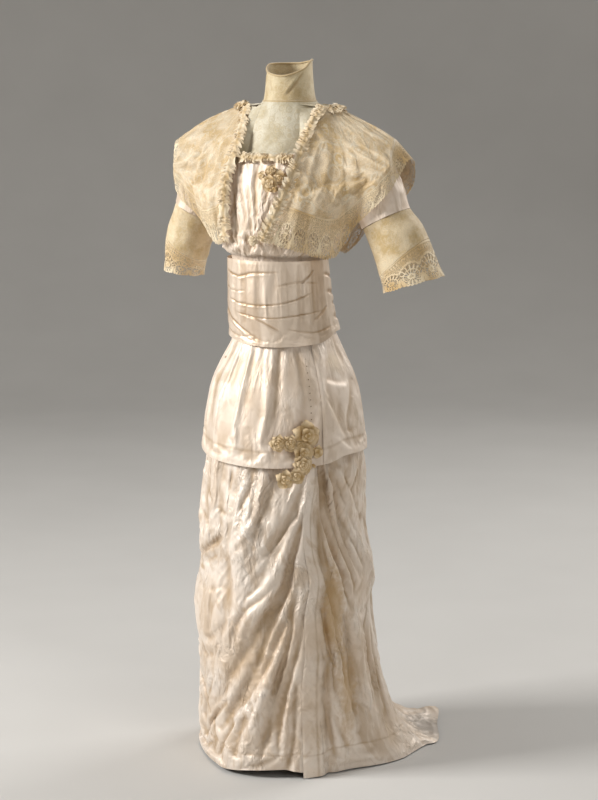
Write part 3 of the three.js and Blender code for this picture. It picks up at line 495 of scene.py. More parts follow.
class Graph:
    """A material's node tree, with short names for the nodes that cloth needs."""

    def __init__(self, name: str) -> None:
        """Starts the material with its shader and coordinates."""
        self.material = bpy.data.materials.new(name)
        self.material.use_nodes = True
        self.tree = self.material.node_tree
        self.tree.nodes.clear()
        self.shader = add_node(self.tree, "BsdfPrincipled")
        add_node(self.tree, "OutputMaterial", {"Surface": self.shader.outputs["BSDF"]})
        self.place = add_node(self.tree, "TexCoord").outputs["Object"]
        self.cloth = add_node(self.tree, "UVMap", uv_map="cloth").outputs["UV"]

    def wear_and_shade(self) -> Socket:
        """How aged the cloth is at each place, with the shade painted into its hollows and creases."""
        return add_node(self.tree, "Attribute", attribute_name="wear_and_shade").outputs["Fac"]

    def math(self, kind: str, a: Input, b: Input = 0.0, c: Input = 0.0) -> Socket:
        """Output of a Math node."""
        return add_node(self.tree, "Math", {0: a, 1: b, 2: c}, operation=kind).outputs[0]

    def ramp(self, value: Input, low: float, high: float, first: float = 0.0, last: float = 1.0) -> Socket:
        """Smooth step of a value, from `first` at `low` to `last` at `high`."""
        inputs = {"Value": value, "From Min": low, "From Max": high, "To Min": first, "To Max": last}
        return add_node(self.tree, "MapRange", inputs, interpolation_type="SMOOTHSTEP").outputs[0]

    def noise(
        self, where: Socket, scale: float, detail: float = 3.0, rough: float = 0.5, bent: float = 0.0
    ) -> Socket:
        """Noise from 0 to 1; scale is in features per unit of `where`."""
        inputs = {"Vector": where, "Scale": scale, "Detail": detail, "Roughness": rough, "Distortion": bent}
        return add_node(self.tree, "TexNoise", inputs).outputs[0]

    def mesh(self, where: Socket, cell: float, thread: float) -> Socket:
        """Threads of a net, from 0 in its holes to 1; the cell's size is in units of `where`."""
        inputs = {"Vector": where, "Scale": 1 / cell}
        holes = add_node(self.tree, "TexVoronoi", inputs, feature="DISTANCE_TO_EDGE")
        return self.ramp(holes.outputs["Distance"], thread, 0.2, 1, 0)

    def stretched(self, where: Socket, scale: tuple, turn: tuple = (0.0, 0.0, 0.0)) -> Socket:
        """Coordinates scaled and turned."""
        inputs = {"Vector": where, "Scale": scale, "Rotation": turn}
        return add_node(self.tree, "Mapping", inputs).outputs[0]

    def colour(self, a: Input, b: Input, share: Input) -> Socket:
        """Colour between two others."""
        node = add_node(self.tree, "Mix", data_type="RGBA")
        for socket, value in zip((node.inputs[0], node.inputs[6], node.inputs[7]), (share, a, b)):
            if isinstance(value, bpy.types.NodeSocket):
                self.tree.links.new(value, socket)
            else:
                socket.default_value = value
        return node.outputs[2]

    def bump(
        self, height: Socket, distance: float, strength: float = 1.0, under: Socket | None = None
    ) -> Socket:
        """Normal of the surface, raised by a height from 0 to 1 times a distance in metres."""
        inputs = {"Height": height, "Distance": distance, "Strength": strength}
        if under is not None:
            inputs["Normal"] = under
        return add_node(self.tree, "Bump", inputs).outputs[0]

    def set(self, **inputs) -> None:
        """Sets the shader's sockets, words joined by underscores."""
        for name, value in inputs.items():
            socket = self.shader.inputs[name.replace("_", " ")]
            if isinstance(value, bpy.types.NodeSocket):
                self.tree.links.new(value, socket)
            else:
                socket.default_value = value


@dataclass(frozen=True)
class ColourPatch:
    """Patch of colour on the cloth: place in millimetres, radius, colour and strength. Most are old brown
    marks; the grey one on the train is painted shade.
    """

    place: tuple[float, float, float]
    radius: float
    colour: str
    strength: float
    tall: float = 1.0


@dataclass(frozen=True)
class Satin:
    """Aged ivory silk satin: slightly uneven in colour, with streaks of painted duller sheen, tan in its
    creases from age and painted shade, softly crumpled.
    """

    name: str
    light: str = "eee1d3"
    deep: str = "a5875f"
    roughness: float = 0.54
    metallic: float = 0.24
    crumple: float = 0.0021
    painted_sheen_streaks: float = 0.5
    wear_and_shade: float = 0.85
    colour_patches: tuple[ColourPatch, ...] = ()

    # Sizes of its unevenness: clouds of colour about 120 mm across, streaks of
    # painted duller sheen 34 mm, creases 26 and 11 mm, slubs 0.8 mm.
    CLOUD = 1 / 0.120
    PAINTED_SHEEN_STREAK = 1 / 0.034
    CREASE = 1 / 0.026
    CRINKLE = 1 / 0.011
    SLUB = 1 / 0.0008

    def material(self) -> Finish:
        """Builds the node material."""
        g = Graph(self.name)
        cloud = g.noise(g.place, self.CLOUD, 4, 0.6)
        colour = g.colour(linear(self.light), linear("e0cdb8"), g.ramp(cloud, 0.35, 0.7))
        # Long streaks of painted duller sheen, darker tan, along the fall of the cloth.
        painted_sheen_streak = g.noise(g.stretched(g.cloth, (1, 0.4, 1)), self.PAINTED_SHEEN_STREAK, 3, 0.6, 0.9)
        colour = g.colour(colour, linear("c6ae92"), g.ramp(painted_sheen_streak, 0.5, 0.62, 0, self.painted_sheen_streaks))
        # Tan in the hollows and creases, shown unevenly: painted shade with the tan of age.
        wear_and_shade = g.wear_and_shade()
        shown = g.ramp(g.noise(g.place, 22, 3), 0.2, 0.75, 0.45 * self.wear_and_shade, self.wear_and_shade)
        uneven = g.math("MULTIPLY", wear_and_shade, shown)
        colour = g.colour(colour, linear(self.deep), uneven)
        for colour_patch in self.colour_patches:
            colour = self.stained(g, colour, colour_patch)
        g.set(Base_Color=colour, Roughness=self.roughness, Metallic=self.metallic)
        g.set(Sheen_Weight=0.15, Sheen_Roughness=0.4, Specular_IOR_Level=0.6)
        crease = self.ridged(g, g.stretched(g.cloth, (1, 0.5, 1), (0, 0, 0.6)), self.CREASE, 0.2)
        crinkle = self.ridged(g, g.stretched(g.cloth, (1, 0.5, 1), (0, 0, -0.5)), self.CRINKLE, 0.22)
        patch = g.ramp(g.noise(g.cloth, 11, 1), 0.4, 0.62, 0.1, 1.0)
        height = g.math("MULTIPLY", g.math("MULTIPLY_ADD", crinkle, 0.35, crease), patch)
        slub = g.noise(g.stretched(g.cloth, (0.06, 1, 1)), self.SLUB, 1)
        fine = g.bump(slub, 0.00003, 0.6)
        g.set(Normal=g.bump(height, self.crumple, 1.0, fine))
        return g.material

    @staticmethod
    def ridged(g: Graph, where: Socket, scale: float, width: float) -> Socket:
        """Height of small creases with soft crests."""
        swing = g.noise(where, scale, 2, 0.5, 0.9)
        return g.ramp(g.math("ABSOLUTE", g.math("SUBTRACT", swing, 0.5)), 0.0, width, 1, 0)

    @staticmethod
    def stained(g: Graph, colour: Socket, colour_patch: ColourPatch) -> Socket:
        """Colour with one patch over it, its edge uneven."""
        x, y, z = to_metres(np.array(colour_patch.place, float))
        near = g.stretched(g.place, (1, 1, 1 / colour_patch.tall))
        middle = (x, y, z / colour_patch.tall)
        far = add_node(g.tree, "VectorMath", {0: near, 1: middle}, operation="DISTANCE").outputs["Value"]
        edge = g.math("MULTIPLY", g.noise(g.place, 90, 3), colour_patch.radius * MM)
        share = g.ramp(g.math("ADD", far, edge), colour_patch.radius * 0.8 * MM, colour_patch.radius * 1.5 * MM, 1, 0)
        return g.colour(colour, linear(colour_patch.colour), g.math("MULTIPLY", share, colour_patch.strength))


@dataclass(frozen=True)
class Net:
    """Fine cotton net with needle-run sprigs, seen through between its threads."""

    name: str
    light: str
    deep: str
    cover: float
    thread: str
    sprig: float
    sprig_share: float
    # Colour of age and of painted shade in the net's hollows.
    worn_and_shaded: str = "ab8c5a"
    # The holes are 1.6 mm across, as in cotton net, which is about the finest that shows.
    cell: float = 0.0016
    petals: int = 5

    def material(self) -> Finish:
        """Builds the node material."""
        g = Graph(self.name)
        thread = g.mesh(g.cloth, self.cell, 0.06)
        sprig = self.sprigs(g)
        shade = g.noise(g.place, 24, 5, 0.65)
        colour = g.colour(linear(self.light), linear(self.deep), g.ramp(shade, 0.35, 0.68))
        colour = g.colour(colour, linear(self.thread), g.math("MULTIPLY", sprig, 0.75))
        # Tan in the hollows along the folds: painted shade, with the tan of age.
        wear_and_shade = g.wear_and_shade()
        colour = g.colour(colour, linear(self.worn_and_shaded), g.math("MULTIPLY", wear_and_shade, 0.6))
        open_net = g.math("MULTIPLY_ADD", thread, 1 - self.cover, self.cover)
        g.set(Base_Color=colour, Roughness=0.62, Sheen_Weight=0.3, Specular_IOR_Level=0.35)
        g.set(Alpha=g.math("MAXIMUM", open_net, g.math("MULTIPLY", sprig, 0.95)))
        height = g.math("ADD", sprig, g.math("MULTIPLY", thread, 0.3))
        g.set(Normal=g.bump(height, 0.0006, 0.7))
        return g.material

    def sprigs(self, g: Graph) -> Socket:
        """Flower sprigs scattered over the net: petals round each cell's middle, and leafy scrolls."""
        inputs = {"Vector": g.cloth, "Scale": 1 / self.sprig, "Randomness": 0.55}
        cells = add_node(g.tree, "TexVoronoi", inputs)
        scaled = g.stretched(g.cloth, (1 / self.sprig,) * 3)
        ends = {0: scaled, 1: cells.outputs["Position"]}
        from_middle = add_node(g.tree, "VectorMath", ends, operation="SUBTRACT")
        parts = add_node(g.tree, "SeparateXYZ", {0: from_middle.outputs[0]})
        turn = g.math("ARCTAN2", parts.outputs["Y"], parts.outputs["X"])
        lobe = g.math("COSINE", g.math("MULTIPLY", turn, float(self.petals)))
        reach = g.math("MULTIPLY_ADD", lobe, 0.11, 0.24)
        inside = g.math("SUBTRACT", cells.outputs["Distance"], reach)
        petal = g.ramp(g.math("ABSOLUTE", inside), 0.03, 0.07, 1, 0)
        eye = g.ramp(cells.outputs["Distance"], 0.05, 0.09, 1, 0)
        vine = g.noise(g.cloth, 0.9 / self.sprig, 1, 0.4, 1.6)
        scroll = g.ramp(g.math("ABSOLUTE", g.math("SUBTRACT", vine, 0.5)), 0.012, 0.03, 1, 0)
        drawn = g.math("MAXIMUM", g.math("MAXIMUM", petal, eye), scroll)
        return g.math("MULTIPLY", drawn, self.sprig_share)


@dataclass(frozen=True)
class LaceBorder:
    """Scalloped border lace: a fan of bars in each scallop, a ring of eyelets, on a fine mesh."""

    name: str
    light: str = "f0dfbf"
    deep: str = "cbab78"
    ground: float = 0.42
    bars: float = 12.0
    reach: float = 1.0
    # The ground's holes are drawn 2.3 mm across, coarser than real, so that they show.
    cell: float = 0.0023

    def material(self) -> Finish:
        """Builds the node material. The UV counts repeats along the lace and shares across it."""
        g = Graph(self.name)
        parts = add_node(g.tree, "SeparateXYZ", {0: g.cloth})
        along = g.math("FRACT", parts.outputs["X"])
        x = g.math("MULTIPLY", g.math("SUBTRACT", along, 0.5), 0.6)
        across = g.math("MULTIPLY", parts.outputs["Y"], -1.0)
        y = g.math("SUBTRACT", across, 0.6)
        radius = g.math("SQRT", g.math("ADD", g.math("MULTIPLY", x, x), g.math("MULTIPLY", y, y)))
        radius = g.math("DIVIDE", radius, self.reach)
        turn = g.math("ARCTAN2", y, x)
        spokes = g.ramp(g.math("SINE", g.math("MULTIPLY", turn, self.bars)), 0.1, 0.6)
        in_fan = g.math("MULTIPLY", g.ramp(radius, 0.06, 0.08), g.ramp(radius, 0.25, 0.23))
        fan = g.math("MULTIPLY", spokes, in_fan)
        rings = g.math("MAXIMUM", self.ring(g, radius, 0.265, 0.022), self.ring(g, radius, 0.06, 0.03))
        rings = g.math("MAXIMUM", rings, self.ring(g, radius, 0.16, 0.016))
        heading = g.ramp(across, 0.03, 0.045, 1, 0)
        foot = g.ramp(across, 0.93, 0.955)
        dots = g.math("SINE", g.math("MULTIPLY", parts.outputs["X"], 7 * TURN))
        eyelets = g.math("MULTIPLY", g.ramp(dots, 0.1, 0.5), self.band(g, across, 0.09, 0.035))
        loops = g.math("MULTIPLY", g.ramp(dots, -0.2, 0.3), self.band(g, across, 0.88, 0.05))
        leaf = self.leaves(g, along, across)
        solid = g.math("MAXIMUM", g.math("MAXIMUM", fan, rings), g.math("MAXIMUM", heading, foot))
        solid = g.math("MAXIMUM", g.math("MAXIMUM", solid, loops), g.math("MAXIMUM", leaf, eyelets))
        thread = g.mesh(g.place, self.cell, 0.05)
        net = g.math("MULTIPLY_ADD", thread, 1 - self.ground, self.ground)
        net = g.math("MULTIPLY", net, g.math("MULTIPLY_ADD", in_fan, -0.75, 1.0))
        shade = g.noise(g.place, 16, 3)
        colour = g.colour(linear(self.light), linear(self.deep), g.ramp(shade, 0.35, 0.7))
        colour = g.colour(linear(self.deep), colour, g.math("MULTIPLY_ADD", solid, 0.35, 0.65))
        g.set(Base_Color=colour, Roughness=0.8, Sheen_Weight=0.2, Specular_IOR_Level=0.2)
        g.set(Alpha=g.math("MAXIMUM", solid, net), Normal=g.bump(solid, 0.0006, 0.8))
        return g.material

    @staticmethod
    def ring(g: Graph, radius: Socket, middle: float, width: float) -> Socket:
        """A round cord of the pattern."""
        return g.ramp(g.math("ABSOLUTE", g.math("SUBTRACT", radius, middle)), width * 0.5, width, 1, 0)

    @staticmethod
    def band(g: Graph, across: Socket, middle: float, width: float) -> Socket:
        """A straight band of the pattern."""
        return g.ramp(g.math("ABSOLUTE", g.math("SUBTRACT", across, middle)), width * 0.7, width, 1, 0)

    @staticmethod
    def leaves(g: Graph, along: Socket, across: Socket) -> Socket:
        """Pairs of leaves that fill the corners between two fans."""
        corner = g.math("ABSOLUTE", g.math("SUBTRACT", along, 0.5))
        dx = g.math("SUBTRACT", corner, 0.43)
        dy = g.math("SUBTRACT", across, 0.78)
        half = g.math("MULTIPLY", dy, 0.5)
        long = g.math("POWER", g.math("MULTIPLY", g.math("ADD", dx, half), 9.0), 2.0)
        wide = g.math("POWER", g.math("MULTIPLY", g.math("SUBTRACT", half, dx), 5.0), 2.0)
        far = g.math("ADD", long, wide)
        return g.ramp(far, 0.5, 0.9, 1, 0)


@dataclass(frozen=True)
class Crepe:
    """Matt silk with a fine crinkled grain, for ruched strips, cloth flowers and bindings."""

    name: str
    light: str
    deep: str
    grain: float = 0.0012
    roughness: float = 0.7

    def material(self) -> Finish:
        """Builds the node material."""
        g = Graph(self.name)
        # Darker in random clouds and where the piece is marked: painted shade under frills and deep in
        # flowers, with the tan of age.
        wear_and_shade = g.wear_and_shade()
        shade = g.math("ADD", g.ramp(g.noise(g.place, 45, 3), 0.3, 0.7, 0, 0.5), wear_and_shade)
        colour = g.colour(linear(self.light), linear(self.deep), g.math("MINIMUM", shade, 1.0))
        g.set(Base_Color=colour, Roughness=self.roughness, Sheen_Weight=0.4, Specular_IOR_Level=0.3)
        grain = g.noise(g.place, 1 / self.grain, 2, 0.6)
        g.set(Normal=g.bump(grain, 0.0003, 0.6))
        return g.material


class Hold(Enum):
    """How a sheet of cloth is held."""

    DRAPED = "draped"
    GATHERED = "gathered"
    STRETCHED = "stretched"


@dataclass(frozen=True)
class Cut:
    """Flat size of a sheet before it was put on, in metres, with its area where it isn't a rectangle."""

    width: float
    length: float
    hold: Hold
    area: float | None = None


def finish_piece(
    piece: Piece,
    material: Finish,
    nodes: Sequence[str] = (),
    cut: Cut | None = None,
) -> Piece:
    """Gives a piece its material, puts it under the root, hides the frame's nodes that it stands for and
    logs its face count.

    Args:
        piece: The new piece.
        material: Its material.
        nodes: Nodes of the frame that it stands for.
        cut: Its flat size, if it is a sheet; not used.

    Returns:
        The piece.
    """
    piece.data.materials.append(material)
    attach(piece, "root")
    if nodes:
        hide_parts(*nodes)
    log.info("%s: %d faces", piece.name, len(piece.data.polygons))
    return piece


# --- skirt

NO_LIP = 0.0001


def creases_from(*rows: tuple[float, ...]) -> tuple[Crease, ...]:
    """Creases from rows of numbers.

    Args:
        rows: Each crease's depth and half width, then the angle and height of each place on its path,
            and last its lip, where that isn't the usual one.

    Returns:
        The creases.
    """
    made = []
    for depth, width, *places in rows:
        lip = {"lip": places.pop()} if len(places) % 2 else {}
        made.append(Crease(tuple(zip(places[::2], places[1::2])), depth, width, **lip))
    return tuple(made)


@dataclass
class SkirtForm:
    """Form of the draped wrap skirt, from its waist to its hem on the floor."""

    top: float = 929
    flare: float = 240
    near: float = 60
    far: float = 150
    radius: float = 168
    tuck: float = 5
    band_share: float = 0.17
    band_stand: float = 3.2
    band_foot: float = 2.5
    under_band: float = 5
    fold: float = 6
    fold_at: float = 0.09
    left_seam: float = 104
    right_seam: float = -150
    sections: Table = sizes(
        "z a f b cx cy",
        (240, 176, 186, 190, 0, -3), (268, 174, 184, 186, -3, -5), (330, 178, 184, 186, -10, -10),
        (393, 174, 180, 184, -5, -4), (456, 164, 176, 176, -6, -10), (518, 160, 172, 172, -7, -14),
        (580, 161, 167, 168, -5, -10), (626, 157, 162, 164, -4, -8), (680, 153, 153, 156, -5, -8),
        (720, 148, 145, 148, -5, -8), (760, 140, 136, 140, -5, -8), (800, 124, 121, 126, -4, -8),
        (863, 96, 93, 94, -2, -9), (890, 93, 89, 87, -4, -15), (929, 92, 86, 80, -6, -23),
    )
    hem: Table = sizes(
        "t x y z",
        (-198, 40, 222, 2.5), (-180, 0, 215, 2.5), (-150, -105, 172, 2.5), (-120, -176, 92, 2.5),
        (-95, -196, 14, 3), (-75, -176, -54, 4), (-52, -133, -116, 5), (-28, -84, -164, 6),
        (-10, -38, -194, 9), (4, 12, -198, 15), (20, 64, -178, 18), (35, 108, -159, 13), (45, 134, -134, 3),
        (55, 152, -106, 2.5), (66, 174, -74, 3), (78, 206, -39, 3), (88, 230, -4, 2.5), (97, 246, 36, 2.5),
        (106, 251, 78, 2.5), (113, 258, 118, 3), (118, 272, 143, 3), (132, 237, 236, 8),
        (145, 199, 320, 14), (152, 152, 282, 10), (162, 96, 240, 4), (180, 0, 215, 2.5),
        (210, -105, 172, 2.5),
    )
    band_edges: Table = sizes(
        "z left right",
        (0, 35, 46), (170, 35, 46.5), (220, 36, 47.5), (300, 39.5, 49), (400, 41.5, 49), (470, 41, 47.5),
        (640, 42, 49),
    )
    # The large folds, which give the skirt its form.
    main_creases: tuple[Crease, ...] = creases_from(
        (-7, 12, 13, 620, 10, 520, NO_LIP), (-8, 16, 10, 520, -14, 425, NO_LIP), (7, 13, 39, 540, 11, 430),
        (9, 15, 34, 440, 20, 355, 4, 273, -36, 96), (7, 13, 32, 400, 10, 250, -20, 80),
        (7, 12, 30, 326, 9, 205), (8, 14, 27, 262, 7, 30), (8, 16, -20, 470, -62, 405),
        (-6, 30, -8, 300, -60, 265, NO_LIP), (6, 18, -44, 250, -50, 40), (9, 13, 50, 640, 62, 480, 72, 360),
        (8, 13, 60, 640, 84, 370), (-8, 14, 76, 560, 110, 330, NO_LIP), (8, 15, 70, 330, 76, 20),
        (7, 15, 92, 300, 96, 20), (9, 16, 128, 600, 122, 150), (10, 17, 152, 640, 146, 150),
        (9, 17, 178, 620, 170, 60), (9, 17, 208, 640, 200, 40), (8, 17, 236, 600, 228, 60),
        (7, 16, 264, 560, 252, 120),
    )

    def body(self, angle: Array, z: Array, out: Value = 0) -> Array:
        """Points on the hips' sections."""
        return on_oval(self.sections.at(z), angle, z, out)

    def surface(self, angle: Array, share: Array, out: Value = 0, foot: float | None = None) -> Array:
        """Points of the skirt.

        Args:
            angle: Angle round the body in degrees.
            share: Share of the way down from the waist to the hem.
            out: Distance out from the skirt's own form.
            foot: Height of the hem, where it isn't the skirt's own.

        Returns:
            Points in millimetres.
        """
        hem = self.hem.at(angle)
        rim = self.body(angle, np.full(np.shape(angle), self.flare))
        floor_z = hem["z"] if foot is None else np.full(np.shape(angle), foot)
        floor = np.stack([hem["x"], hem["y"], floor_z], axis=-1)
        reach = np.hypot(floor[..., 0] - rim[..., 0], floor[..., 1] - rim[..., 1])
        run_out = (self.flare + reach) / (self.top + reach)
        above = np.clip(share / (1 - run_out), 0, 1)
        upper = self.body(angle, mix(self.top, self.flare, above))
        trail = smooth(reach, self.near, self.far)
        k = np.clip((share - 1 + run_out) / run_out, 0, 1)[..., None]
        knee = mix(rim, floor, mix(0.3, 0.1, trail)[..., None])
        knee[..., 2] = mix(110, 6, trail)
        lower = rim * (1 - k) ** 2 + knee * 2 * k * (1 - k) + floor * k * k
        points = np.where((share < 1 - run_out)[..., None], upper, lower)
        return self.moved(points, angle, out)

    def moved(self, points: Array, angle: Array, out: Value) -> Array:
        """Points with the large folds, the tuck under the overskirt and a distance out."""
        z = points[..., 2]
        turned = np.where(angle < self.right_seam, angle + 360, angle)
        drawn = drawn_in(self.main_creases, turned, z, self.radius)
        behind = drawn_in(self.main_creases[-3:], turned + 360, z, self.radius)
        drawn = np.where(turned > 180, drawn, drawn + behind)
        draw = out - self.tuck * smooth(z, 650, 710) - drawn * smooth(z, 0, 60)
        turn = np.radians(angle)
        points = points.copy()
        points[..., 0] += draw * np.sin(turn)
        points[..., 1] -= draw * np.cos(turn)
        return points

    def band(self, share: Array) -> tuple[Array, Array]:
        """Angles of the band's two edges at a share down."""
        edge = self.band_edges.at(self.top * (1 - share))
        return edge["left"], edge["right"]


@dataclass
class Skirt:
    """The wrap skirt: a right panel that the left one's folded band crosses, and a back with the train."""

    form: SkirtForm = field(default_factory=SkirtForm)
    facing: float = 50
    # Pulls and creases that are finer than the form's large folds, with painted shade and the tan of age in
    # the hollows.
    right_creases: tuple[Crease, ...] = creases_from(
        (5, 7, 14, 590, 13, 545, 8, 500, -4, 462, -16, 430), (3, 6, 3, 610, 1, 570, -6, 530),
        (-3, 6, 36, 520, 24, 470, 8, 420, -6, 360), (4.5, 7, 38, 500, 30, 440, 16, 380, 0, 330, -12, 270),
        (4, 6, 36, 470, 28, 410, 16, 340, 6, 290), (4.5, 7, 36, 380, 30, 320, 20, 270, 8, 200, -8, 130),
        (4, 6, 35, 350, 31, 290, 24, 230, 16, 160), (-4, 7, 33, 300, 27, 230, 20, 170, 12, 110),
        (5, 7, 32, 270, 28, 200, 22, 130, 20, 40), (4, 6, 32, 200, 30, 130, 30, 60),
        (5, 8, -18, 480, -34, 452, -52, 420, -66, 404), (4, 7, -24, 440, -40, 415, -60, 398),
        (4, 6, -66, 404, -52, 385, -38, 372), (3.5, 6, -68, 392, -52, 372, -30, 366, -14, 380),
        (3.5, 6, -64, 386, -56, 350, -46, 310), (4, 7, -54, 520, -46, 505, -34, 480),
        (3.5, 6, -44, 560, -30, 535, -14, 520), (3, 7, -70, 560, -60, 500, -64, 440),
        (-4, 12, -50, 600, -52, 520, -58, 450, NO_LIP),
        (5, 9, -70, 280, -52, 255, -34, 262, -18, 290, -8, 320), (4, 7, -62, 240, -44, 226, -26, 236),
        (4, 7, -64, 190, -50, 150, -34, 90, -30, 50), (4, 7, -30, 190, -42, 130, -54, 80),
        (4, 6, -14, 150, -34, 96, -50, 40), (3.5, 6, -8, 110, -18, 60, -24, 20),
        (4, 7, -2, 130, -6, 70, -8, 20), (-4, 9, 8, 100, 6, 20, NO_LIP),
        (5, 9, -84, 600, -86, 500, -78, 430), (5, 9, -96, 620, -102, 480, -92, 400),
        (5, 9, -84, 380, -100, 330, -112, 240, -114, 90), (4, 8, -78, 330, -86, 220, -84, 60),
        (4, 8, -126, 620, -130, 470, -120, 330, -124, 150), (4, 8, -140, 560, -146, 380, -142, 200),
    )
    left_creases: tuple[Crease, ...] = creases_from(
        (6, 6, 51, 620, 54, 560, 58, 500, 66, 420, 72, 340),
        (5, 6, 54, 620, 58, 570, 66, 500, 76, 400, 82, 320), (-4, 6, 57, 600, 64, 530, 74, 450, 84, 370),
        (5, 7, 60, 610, 70, 540, 82, 470, 94, 390), (5, 7, 66, 600, 78, 530, 92, 450),
        (4, 7, 74, 600, 88, 540, 101, 480), (4, 6, 53, 520, 56, 440, 60, 360, 66, 280),
        (5, 7, 55, 420, 60, 330, 64, 240, 68, 140), (4, 6, 53, 330, 56, 240, 58, 150),
        (4, 7, 72, 330, 74, 240, 70, 150), (-4, 8, 80, 300, 82, 200, 84, 110, NO_LIP),
        (4, 7, 88, 330, 92, 220, 94, 120), (3.5, 6, 56, 130, 62, 70, 66, 30),
        (3.5, 6, 52, 150, 54, 80, 56, 30), (3.5, 7, 98, 280, 99, 180, 100, 90),
    )
    back_creases: tuple[Crease, ...] = creases_from(
        (5, 9, 112, 620, 116, 480, 110, 330, 114, 190), (5, 10, 120, 560, 126, 400, 134, 240),
        (5, 9, 140, 640, 136, 470, 140, 300, 132, 160), (4, 8, 160, 620, 156, 440, 160, 260, 150, 120),
        (5, 10, 168, 560, 172, 400, 166, 240, 158, 100), (4, 9, 188, 620, 184, 460, 190, 300, 186, 120),
        (5, 9, 198, 560, 202, 380, 196, 180), (4, 8, 122, 260, 128, 160, 134, 80),
        (4, 8, 116, 210, 118, 130, 120, 70),
    )

    def build(self, satin: Finish) -> None:
        """Makes the three panels."""
        form = self.form

        def right(u: Array, v: Array) -> Array:
            """Points of the right panel, which goes on under the band."""
            left_edge, _ = form.band(v)
            return form.surface(mix(form.right_seam, left_edge + form.under_band, u), v)

        panel = Sheet(right, 130, 150)
        left_edge, _ = form.band(panel.v)
        angle = mix(form.right_seam, left_edge + form.under_band, panel.u)
        self.relieve(panel, angle, self.right_creases, Settling(slant=0.5), seed=11)
        piece = panel.build("skirt_right_panel")
        finish_piece(piece, satin, ["skirt_right"], Cut(0.78, 1.02, Hold.DRAPED, 0.56))

        panel = Sheet(self.left_surface, 64, 140)
        angle = self.left_angle(panel.u, panel.v)
        self.relieve(panel, angle, self.left_creases, Settling(slant=-0.25), seed=12, clear=form.band_share)
        piece = panel.build("skirt_left_panel")
        finish_piece(piece, satin, ["skirt_left"], Cut(0.42, 1.05, Hold.DRAPED, 0.2))

        def back(u: Array, v: Array) -> Array:
            """Points of the back panel."""
            return form.surface(mix(form.left_seam, 360 + form.right_seam, u), v)

        panel = Sheet(back, 80, 140)
        angle = mix(form.left_seam, 360 + form.right_seam, panel.u)
        self.relieve(panel, angle, self.back_creases, Settling(spare=0.06), seed=13)
        piece = panel.build("skirt_back_panel")
        finish_piece(piece, satin, ["skirt_back"], Cut(0.62, 1.35, Hold.DRAPED, 0.34))

    def left_angle(self, u: Array, v: Array) -> Array:
        """Angles of the left panel's places."""
        form = self.form
        left, right = form.band(v)
        rest = (u - form.band_share) / (1 - form.band_share)
        on_band = mix(left, right, u / form.band_share)
        return np.where(u <= form.band_share, on_band, mix(right, form.left_seam, rest))

    def left_surface(self, u: Array, v: Array) -> Array:
        """The band down the front edge stands off the panel below, then dips into a deep fold."""
        form = self.form
        angle = self.left_angle(u, v)
        rest = (u - form.band_share) / (1 - form.band_share)
        dip = form.fold * bell(rest, form.fold_at, 0.05)
        beside = form.surface(angle, v, form.band_stand * (1 - smooth(rest, 0, form.fold_at)) - dip)
        band = form.surface(angle, v, form.band_stand, form.band_foot)
        return np.where((u <= form.band_share)[..., None], band, beside)

    def relieve(
        self,
        panel: Sheet,
        angle: Array,
        creases: Sequence[Crease],
        settling: Settling,
        seed: int,
        clear: float = 0.0,
    ) -> None:
        """Adds the finer creases to a panel, lets it settle, and crinkles it.

        Args:
            panel: The sheet.
            angle: Angle round the body of each of its places.
            creases: The panel's own creases.
            settling: How it settles.
            seed: Seed of its crumple.
            clear: Share of its width, from its front edge, that lies smooth.
        """
        form = self.form
        given = panel.points
        z = given[..., 2]
        arc = np.radians(angle) * form.radius
        # Two sizes of crumple, in millimetres: 22 by 26, and 11 by 12.
        noise, second = SoftNoise(seed), SoftNoise(seed + 50)
        crumple = 1.3 * noise.at(arc / 22, z / 26) + 0.8 * second.at(arc / 11, z / 12)
        seams = panel.inside(0.04)
        level = smooth(z, 4, 45) * (0.3 + 0.7 * (1 - smooth(z, 640, 700)))
        rest = smooth(panel.u, clear, clear + 0.04) if clear else seams
        drawn = drawn_in(creases, angle, z, form.radius)
        panel.push((crumple - drawn) * level * seams * mix(0.4, 1, rest))
        held = np.maximum(1 - smooth(panel.u, 0, 0.03), 1 - smooth(1 - panel.u, 0, 0.03))
        held = np.maximum(held, np.maximum(1 - smooth(panel.v, 0.02, 0.1), 1 - smooth(z, 3, 20)))
        held = np.maximum(held, 0.25 * (1 - rest) if clear else 0)
        settling.settle(panel, held)
        # Painted shade and the tan of age in the panel's own hollows and in the large folds, fading out near
        # the floor.
        large = drawn_in(form.main_creases, angle, z, form.radius)
        panel.shade_hollows(given, 3)
        panel.wear_and_shade = np.clip(panel.wear_and_shade + large / 10, 0, 1) * smooth(z, 4, 40)
        panel.refined()
        # Crinkles that run across each other, in patches; then the rumple of the train on the floor.
        z = panel.points[..., 2]
        arc = np.radians(finer(angle)) * form.radius
        across, along = 0.8 * arc - 0.55 * z, 0.55 * arc + 0.8 * z
        crinkle = noise.ridge(across / 13 + 0.8 * noise.at(along / 40, 9), along / 46)
        crinkle = crinkle + 0.7 * second.ridge(along / 11 + 0.8 * second.at(across / 30, 5), across / 34)
        crinkle = 1.5 * crinkle * smooth(second.at(arc / 70, z / 90), -0.5, 0.4)
        seams = panel.inside(0.02)
        far_out = np.hypot(panel.points[..., 0], panel.points[..., 1])
        train = smooth(far_out, 225, 260) * (1 - smooth(z, 20, 60)) * smooth(1 - panel.v, 0, 0.02)
        x, y = panel.points[..., 0], panel.points[..., 1]
        rumpled = 3.2 * noise.ridge(x / 24 + noise.at(y / 30, 2), y / 40) + 2 * second.ridge(x / 40, y / 16)
        panel.push(crinkle * seams * smooth(z, 4, 30) + rumpled * train)
